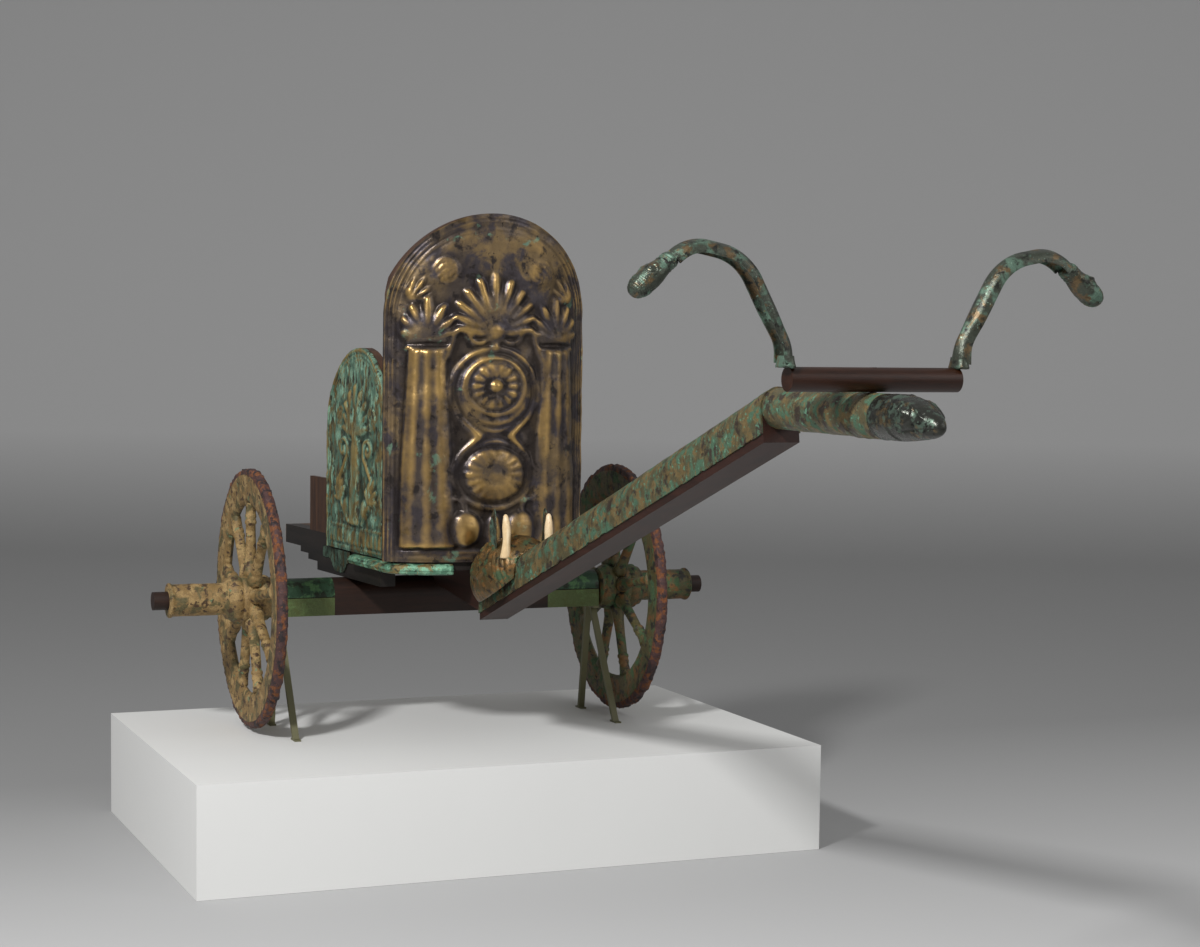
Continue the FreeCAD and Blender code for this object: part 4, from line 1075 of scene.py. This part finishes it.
def makeEars():
    for side, sign in (("left", 1), ("right", -1)):
        low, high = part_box(side + "_ear")
        centreX = (low.x + high.x) / 2
        half = (high.x - low.x) / 2
        y = low.y + 0.0005 if sign > 0 else high.y - 0.0005
        rows, columns = 40, 21
        grid = []
        for share in np.linspace(0, 1, rows):
            width = half * (math.sin(math.pi * min(1, share * 0.94 + 0.06)) ** 0.62)
            for aside in np.linspace(-1, 1, columns):
                dish = 0.010 * (aside ** 2) * math.sin(math.pi * share) + 0.006 * share
                grid.append((centreX + width * aside, y + sign * (0.0005 + dish * 0.5),
                             low.z + 0.002 + (high.z - low.z - 0.002) * share))
        skin = makeMesh(side + "MaskEar", grid, gridFaces(rows, columns))
        thickened(skin, 0.0022, 0)
        place(skin, yokeBronze, slot="green_bronze", replaces=[side + "_ear"])


makeCowl()
makeTusks()
makeEars()
print("cowl made")


# ---------- yoke arms

yoke = {"x": 2.300, "footY": 0.178, "waist": (0.180, 1.273), "shoulder": (0.254, 1.410), "crown": (0.345, 1.428),
        "end": (0.372, 1.405), "radii": (0.060, 0.080, 0.060), "width": 0.046, "depth": 0.022, "wall": 0.004,
        "headHalf": 0.052, "headRadius": 0.025, "headOverlap": 0.012}


def armLine(step=0.004):
    # straight runs joined by tangent arcs, as points and tangents in (y, z)
    low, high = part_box("left_yoke_arm")
    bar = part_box("yoke_bar")[1].z
    corners = [Vector((yoke["footY"], bar + 0.006))] + [Vector(yoke[k]) for k in ("waist", "shoulder", "crown", "end")]
    path = [corners[0]]
    for corner, before, after, radius in zip(corners[1:-1], corners[:-2], corners[2:], yoke["radii"]):
        back = (before - corner).normalized()
        ahead = (after - corner).normalized()
        half = 0.5 * back.angle(ahead)
        reach = radius / math.tan(half)
        first, last = corner + back * reach, corner + ahead * reach
        centre = corner + (back + ahead).normalized() * (radius / math.sin(half))
        start = (first - centre)
        sweep = start.angle_signed(last - centre)
        turns = max(4, int(abs(sweep) * radius / step))
        path += [centre + Matrix.Rotation(-sweep * k / turns, 2) @ start for k in range(turns + 1)]
    path.append(corners[-1])
    fine = [path[0]]
    for point in path[1:]:
        run = point - fine[-1]
        count = max(1, int(run.length / step))
        origin = fine[-1].copy()
        fine += [origin + run * (k + 1) / count for k in range(count)]
    points = np.array([tuple(p) for p in fine])
    tangents = np.gradient(points, axis=0)
    tangents /= np.linalg.norm(tangents, axis=1, keepdims=True)
    return points, tangents


def makeYokeArms():
    points, tangents = armLine()
    count = len(points)
    share = np.linspace(0, 1, count)
    # the foot flares, the waist is narrow, and the arm widens towards the head
    flare = 1 + 0.02 * np.exp(-share * 14) - 0.24 * np.exp(-((share - 0.13) / 0.10) ** 2) - 0.04 * np.sin(math.pi * share)
    turns = np.linspace(0, math.pi, 30)
    rings = []
    for (y, z), (ty, tz), wide in zip(points, tangents, flare):
        outwardY, outwardZ = -tz, ty
        half = 0.5 * yoke["width"] * wide
        depth = yoke["depth"] * (0.86 + 0.14 * wide)
        ring = []
        for radius, deep, order in ((half, depth, turns), (half - 0.0042, depth - 0.0045, turns[::-1])):
            for t in order:
                along = -radius * math.cos(t)
                lift = deep * (math.sin(t) ** 0.8)
                # a raised rib runs down the middle of the back
                lift += 0.0012 * math.exp(-(along / 0.004) ** 2) if order is turns else 0
                ring.append((yoke["x"] + along, y + outwardY * lift, z + outwardZ * lift))
        rings.append(ring)
    rings = np.array(rings)
    rough = fractal(rings.reshape(-1, 3), 22, 3, 51).reshape(rings.shape[:2]) * 0.5 * mm
    rings[..., 0] += rough * np.sign(rings[..., 0] - yoke["x"])
    arm = loftRings("leftYokeArm", rings)
    sharpEdges(arm, 55)
    right = mirroredCopy(arm, "rightYokeArm")
    place(arm, yokeBronze, slot="dark_bronze", replaces=["left_yoke_arm"])
    place(right, yokeBronze, slot="dark_bronze", replaces=["right_yoke_arm"])
    makeYokeFeet()
    makeYokeHeads(points[-1], tangents[-1])


def makeYokeFeet():
    # a flared, ragged foot bent over the bar's end
    barLow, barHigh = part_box("yoke_bar")
    armLow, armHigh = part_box("left_yoke_arm")
    turns = np.linspace(0, 2 * math.pi, 48, endpoint=False)
    levels = [(0.000, 1.02, 1.10), (0.003, 1.04, 1.14), (0.006, 0.99, 1.06), (0.012, 0.90, 0.98), (0.020, 0.82, 0.92)]
    middleY = yoke["footY"] - 0.5 * yoke["depth"]
    rings = []
    for rise, wide, deep in levels:
        ring = []
        for t in turns:
            x = 0.5 * yoke["width"] * wide * math.copysign(abs(math.cos(t)) ** 0.6, math.cos(t))
            y = 0.5 * yoke["depth"] * deep * math.copysign(abs(math.sin(t)) ** 0.8, math.sin(t))
            ring.append((yoke["x"] + x, middleY + y, barHigh.z - 0.0015 + rise))
        rings.append(ring)
    rings = np.array(rings)
    rings[0, :, 2] += fractal(rings[0], 9, 3, 57) * 0.0018
    foot = loftRings("leftYokeFoot", rings)
    right = mirroredCopy(foot, "rightYokeFoot")
    place(foot, yokeBronze, slot="dark_bronze")
    place(right, yokeBronze, slot="dark_bronze")


def makeYokeHeads(endPoint, tangent):
    # blunt snake-like head: collar, flat brow, round eyes and a scaled snout
    outwardY, outwardZ = -tangent[1], tangent[0]
    origin = np.array([yoke["x"], endPoint[0] + outwardY * 0.5 * yoke["depth"], endPoint[1] + outwardZ * 0.5 * yoke["depth"]])
    forward = np.array([0, tangent[0], tangent[1]])
    lift = np.array([0, outwardY, outwardZ])
    side = np.array([1.0, 0, 0])
    length = 2 * yoke["headHalf"] - yoke["headOverlap"]
    stations = np.array([(0, 0.84, 0.54), (0.05, 0.93, 0.60), (0.10, 0.86, 0.55), (0.22, 0.84, 0.60), (0.4, 0.96, 0.74),
                         (0.55, 1.0, 0.80), (0.7, 0.98, 0.78), (0.84, 0.88, 0.68), (0.93, 0.68, 0.52), (0.98, 0.42, 0.32),
                         (1.0, 0.16, 0.12)])
    turns = np.linspace(0, 2 * math.pi, 90, endpoint=False)
    rings = []
    for share in np.linspace(0, 1, 96):
        wide, tall = [np.interp(share, stations[:, 0], stations[:, k]) * yoke["headRadius"] for k in (1, 2)]
        centre = origin + forward * (share * length)
        rings.append([centre + side * (wide * math.sin(t)) + lift * (tall * math.cos(t)) for t in turns])
    rings = np.array(rings)
    centre = rings.mean(axis=1, keepdims=True)
    radial = rings - centre
    radial /= np.linalg.norm(radial, axis=-1, keepdims=True)
    along = ((rings - origin) @ forward) / mm
    angle = np.arctan2(np.abs((rings - centre) @ side), (rings - centre) @ lift)
    around = angle * 20
    eye = np.hypot(along - 44, around - 17)
    relief = dome(eye, 8, 3.6) + ridge(eye - 10.5, 3, 1.5) + dome(eye, 3.4, 1.6)
    relief = relief + ridge(along - 10, 2.6, 1.6) + ridge(along - 17, 2.2, 1.2)
    scales = np.abs(np.sin(along * 0.85)) * np.abs(np.sin(around * 0.9))
    relief = relief + np.where(along > 62, scales * 1.5 * np.clip((along - 62) / 6, 0, 1), 0)
    relief = relief - ridge(lineDistance(along, around, [(58, 48), (76, 40), (92, 30)]), 2.5, 1.5)
    relief = relief + fractal(rings.reshape(-1, 3), 10, 3, 61).reshape(relief.shape) * 0.4
    rings += radial * (relief * mm)[..., None]
    head = loftRings("leftYokeHead", rings)
    right = mirroredCopy(head, "rightYokeHead")
    place(head, yokeBronze, slot="dark_bronze", replaces=["left_yoke_head"])
    place(right, yokeBronze, slot="dark_bronze", replaces=["right_yoke_head"])


makeYokeArms()
print("yoke made")


# ---------- base moulding and frieze

moulding = {"depth": 0.030, "height": 0.028, "corner": 0.060, "cornerAngle": math.radians(27),
            "taper": math.radians(85.24), "break": 0.100, "rear": 0.100}


def mouldingLine(offset):
    # plan line of the left half of the moulding, offset outward from the frame's face
    p, m = frontPanel, moulding
    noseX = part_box("front_panel")[1].x - p["noseRadius"]
    slide = p["noseRadius"] - p["cheekRadius"]
    cheek = Vector((noseX + slide * math.cos(p["noseAngle"]), slide * math.sin(p["noseAngle"])))
    inset = p["wall"] - offset
    radius = p["noseRadius"] - inset
    first = math.asin(m["break"] / radius)
    line = [Vector((noseX + radius * math.cos(a), radius * math.sin(a))) for a in np.linspace(first, p["noseAngle"], 8)]
    radius = p["cheekRadius"] - inset
    line += [cheek + radius * Vector((math.cos(a), math.sin(a)))
             for a in np.linspace(p["noseAngle"], m["cornerAngle"], 16)[1:]]
    hub = cheek + (p["cheekRadius"] - p["wall"] - m["corner"]) * Vector((math.cos(m["cornerAngle"]), math.sin(m["cornerAngle"])))
    radius = m["corner"] + offset
    line += [hub + radius * Vector((math.cos(a), math.sin(a))) for a in np.linspace(m["cornerAngle"], m["taper"], 24)[1:]]
    last = line[-1]
    run = last.x - m["rear"]
    line += [Vector((last.x - run * k / 30, last.y + run * k / 30 / math.tan(m["taper"]))) for k in range(1, 31)]
    return line


def makeMoulding():
    # four fine ribs run the length of a half-round roll
    low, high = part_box("left_base_moulding")
    inner = mouldingLine(0.0004)
    turns = np.linspace(-0.5 * math.pi, 0.5 * math.pi, 34)
    rings = []
    for index in range(len(inner)):
        before = inner[max(0, index - 1)]
        after = inner[min(len(inner) - 1, index + 1)]
        run = (after - before).normalized()
        normal = Vector((run.y, -run.x))
        ring = []
        for t in turns:
            rib = 0.0011 * math.cos(t * 9)
            out = (moulding["depth"] - 0.0015) * math.cos(t) ** 0.7 + rib
            rise = 0.5 * (high.z - low.z) * (1 + math.sin(t) * 0.98)
            spot = inner[index] + normal * max(out, 0.0003)
            ring.append((spot.x, spot.y, low.z + rise))
        rings.append(ring)
    rings = np.array(rings)
    rough = fractal(rings.reshape(-1, 3), 24, 3, 71).reshape(rings.shape[:2]) * 0.7 * mm
    rings[..., 2] += rough * 0.8
    roll = loftRings("leftBaseMoulding", rings)
    right = mirroredCopy(roll, "rightBaseMoulding")
    place(roll, mouldingBronze, slot="green_bronze", replaces=["left_base_moulding"])
    place(right, mouldingBronze, slot="green_bronze", replaces=["right_base_moulding"])


def makeFrieze():
    # ribbed sheet, torn along its lower edge
    low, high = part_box("left_frieze_strip")
    taper = math.tan(math.radians(90 - 85.24))
    columns, rows = 150, 36
    grid = []
    for j in range(columns):
        share = j / (columns - 1)
        x = low.x + 0.0004 + (high.x - low.x - 0.0008) * share
        torn = 0.55 - 0.5 * math.exp(-((share - 0.6) / 0.26) ** 4)
        torn += 0.05 * noise.fractal(Vector((share * 14, 3.3, 0)), 1.0, 2.0, 4)
        bottom = low.z + (high.z - low.z) * min(max(torn, 0.0), 0.9)
        for i in range(rows):
            z = bottom + (high.z - bottom) * i / (rows - 1)
            rib = 0.0016 * math.sin(x * 2 * math.pi / 0.011) * (0.3 + 0.7 * math.sin(math.pi * i / (rows - 1)))
            y = high.y - 0.002 - (x - low.x) * taper + rib
            y += 0.0015 * noise.fractal(Vector((x * 30, z * 30, 1.0)), 1.0, 2.0, 3)
            grid.append((x, y, z))
    skin = makeMesh("leftFriezeStrip", grid, gridFaces(columns, rows))
    thickened(skin, 0.0018, 0)
    right = mirroredCopy(skin, "rightFriezeStrip")
    place(skin, sideBronze, slot="green_bronze", replaces=["left_frieze_strip"])
    place(right, sideBronze, slot="green_bronze", replaces=["right_frieze_strip"])


makeMoulding()
makeFrieze()
print("moulding and frieze made")


# ---------- floor, light and camera

studio = {"floorColour": "#c8c8c8", "shadedFarFloorColour": "#959595", "wallColour": "#c2c2c2", "wallX": -11.0,
          "wallTop": 12.0, "bend": 4.0, "key": 250, "keySize": 0.5, "fill": 45, "worldLight": 0.46}


def makeStudio():
    s = studio
    steps = [(14.0, 0.0), (s["wallX"] + s["bend"], 0.0)]
    steps += [(s["wallX"] + s["bend"] - s["bend"] * math.sin(t), s["bend"] - s["bend"] * math.cos(t))
              for t in np.linspace(0.08, 0.5 * math.pi, 20)]
    steps.append((s["wallX"], s["wallTop"]))
    points = []
    # the sweep stands square to the view, so its line is turned about the chariot
    turn = Matrix.Rotation(2.7473 - math.pi, 2)
    for x, z in steps:
        for y in (-22.0, 22.0):
            spot = turn @ Vector((x, y))
            points.append((spot.x, spot.y, z - 0.0005))
    sweep = makeMesh("studioSweep", points, gridFaces(len(steps), 2))
    material, tree = newMaterial("paperSweep")
    coords = addNode(tree, "ShaderNodeTexCoord").outputs["Object"]
    split = addNode(tree, "ShaderNodeSeparateXYZ", {0: coords})
    rise = addNode(tree, "ShaderNodeMapRange", {"Value": split.outputs["Z"], "From Min": 0.0, "From Max": 0.6})
    # the floor is painted darker away from the camera: painted shade of the lamps' falloff
    away = addNode(tree, "ShaderNodeMapRange", {"Value": split.outputs["X"], "From Min": 2.4, "From Max": -0.8})
    ground = addNode(tree, "ShaderNodeMix", {
        0: away.outputs[0], 6: linear(s["floorColour"]), 7: linear(s["shadedFarFloorColour"])}, data_type="RGBA")
    mix = addNode(tree, "ShaderNodeMix", {
        0: rise.outputs[0], 6: ground.outputs[2], 7: linear(s["wallColour"])}, data_type="RGBA")
    shader = addNode(tree, "ShaderNodeBsdfPrincipled", {"Base Color": mix.outputs[2], "Roughness": 0.9})
    addNode(tree, "ShaderNodeOutputMaterial", {"Surface": shader.outputs[0]})
    sweep.data.materials.append(material)
    world = bpy.data.worlds.new("studio")
    bpy.context.scene.world = world
    world.use_nodes = True
    world.node_tree.nodes.clear()
    sky = addNode(world.node_tree, "ShaderNodeBackground", {"Color": linear("#f4f4f4"), "Strength": s["worldLight"]})
    addNode(world.node_tree, "ShaderNodeOutputWorld", {"Surface": sky.outputs[0]})
    lamps = [("keySoftbox", (3.5, -3.2, 3.9), (0.6, 0.0, 0.7), s["key"], s["keySize"]),
             ("fillSoftbox", (5.0, 3.5, 3.2), (0.8, 0.0, 0.8), s["fill"], 3.0)]
    for name, spot, target, power, size in lamps:
        lamp = bpy.data.lights.new(name, "AREA")
        lamp.energy = power
        lamp.size = size
        holder = bpy.data.objects.new(name, lamp)
        holder.location = spot
        holder.rotation_euler = (Vector(target) - Vector(spot)).to_track_quat("-Z", "Y").to_euler()
        bpy.context.scene.collection.objects.link(holder)


view = {"place": (5.7109, -1.9177, 1.2901), "heading": 2.7473, "tilt": -0.0735, "roll": 0.0129, "lens": 68.74,
        "shiftY": 0.0239}


def makeCamera():
    v = view
    forward = Vector((math.cos(v["heading"]) * math.cos(v["tilt"]), math.sin(v["heading"]) * math.cos(v["tilt"]),
                      math.sin(v["tilt"])))
    right = Vector((math.sin(v["heading"]), -math.cos(v["heading"]), 0))
    up = right.cross(forward)
    right, up = (right * math.cos(v["roll"]) + up * math.sin(v["roll"]),
                 up * math.cos(v["roll"]) - right * math.sin(v["roll"]))
    lens = bpy.data.cameras.new("view")
    lens.lens = v["lens"]
    lens.sensor_width = 36
    lens.shift_y = v["shiftY"]
    lens.clip_end = 60
    camera = bpy.data.objects.new("view", lens)
    axes = Matrix((right, up, -forward)).transposed().to_4x4()
    camera.matrix_world = Matrix.Translation(v["place"]) @ axes
    bpy.context.scene.collection.objects.link(camera)
    bpy.context.scene.camera = camera


makeStudio()
makeCamera()
bpy.context.scene.view_settings.view_transform = "Standard"
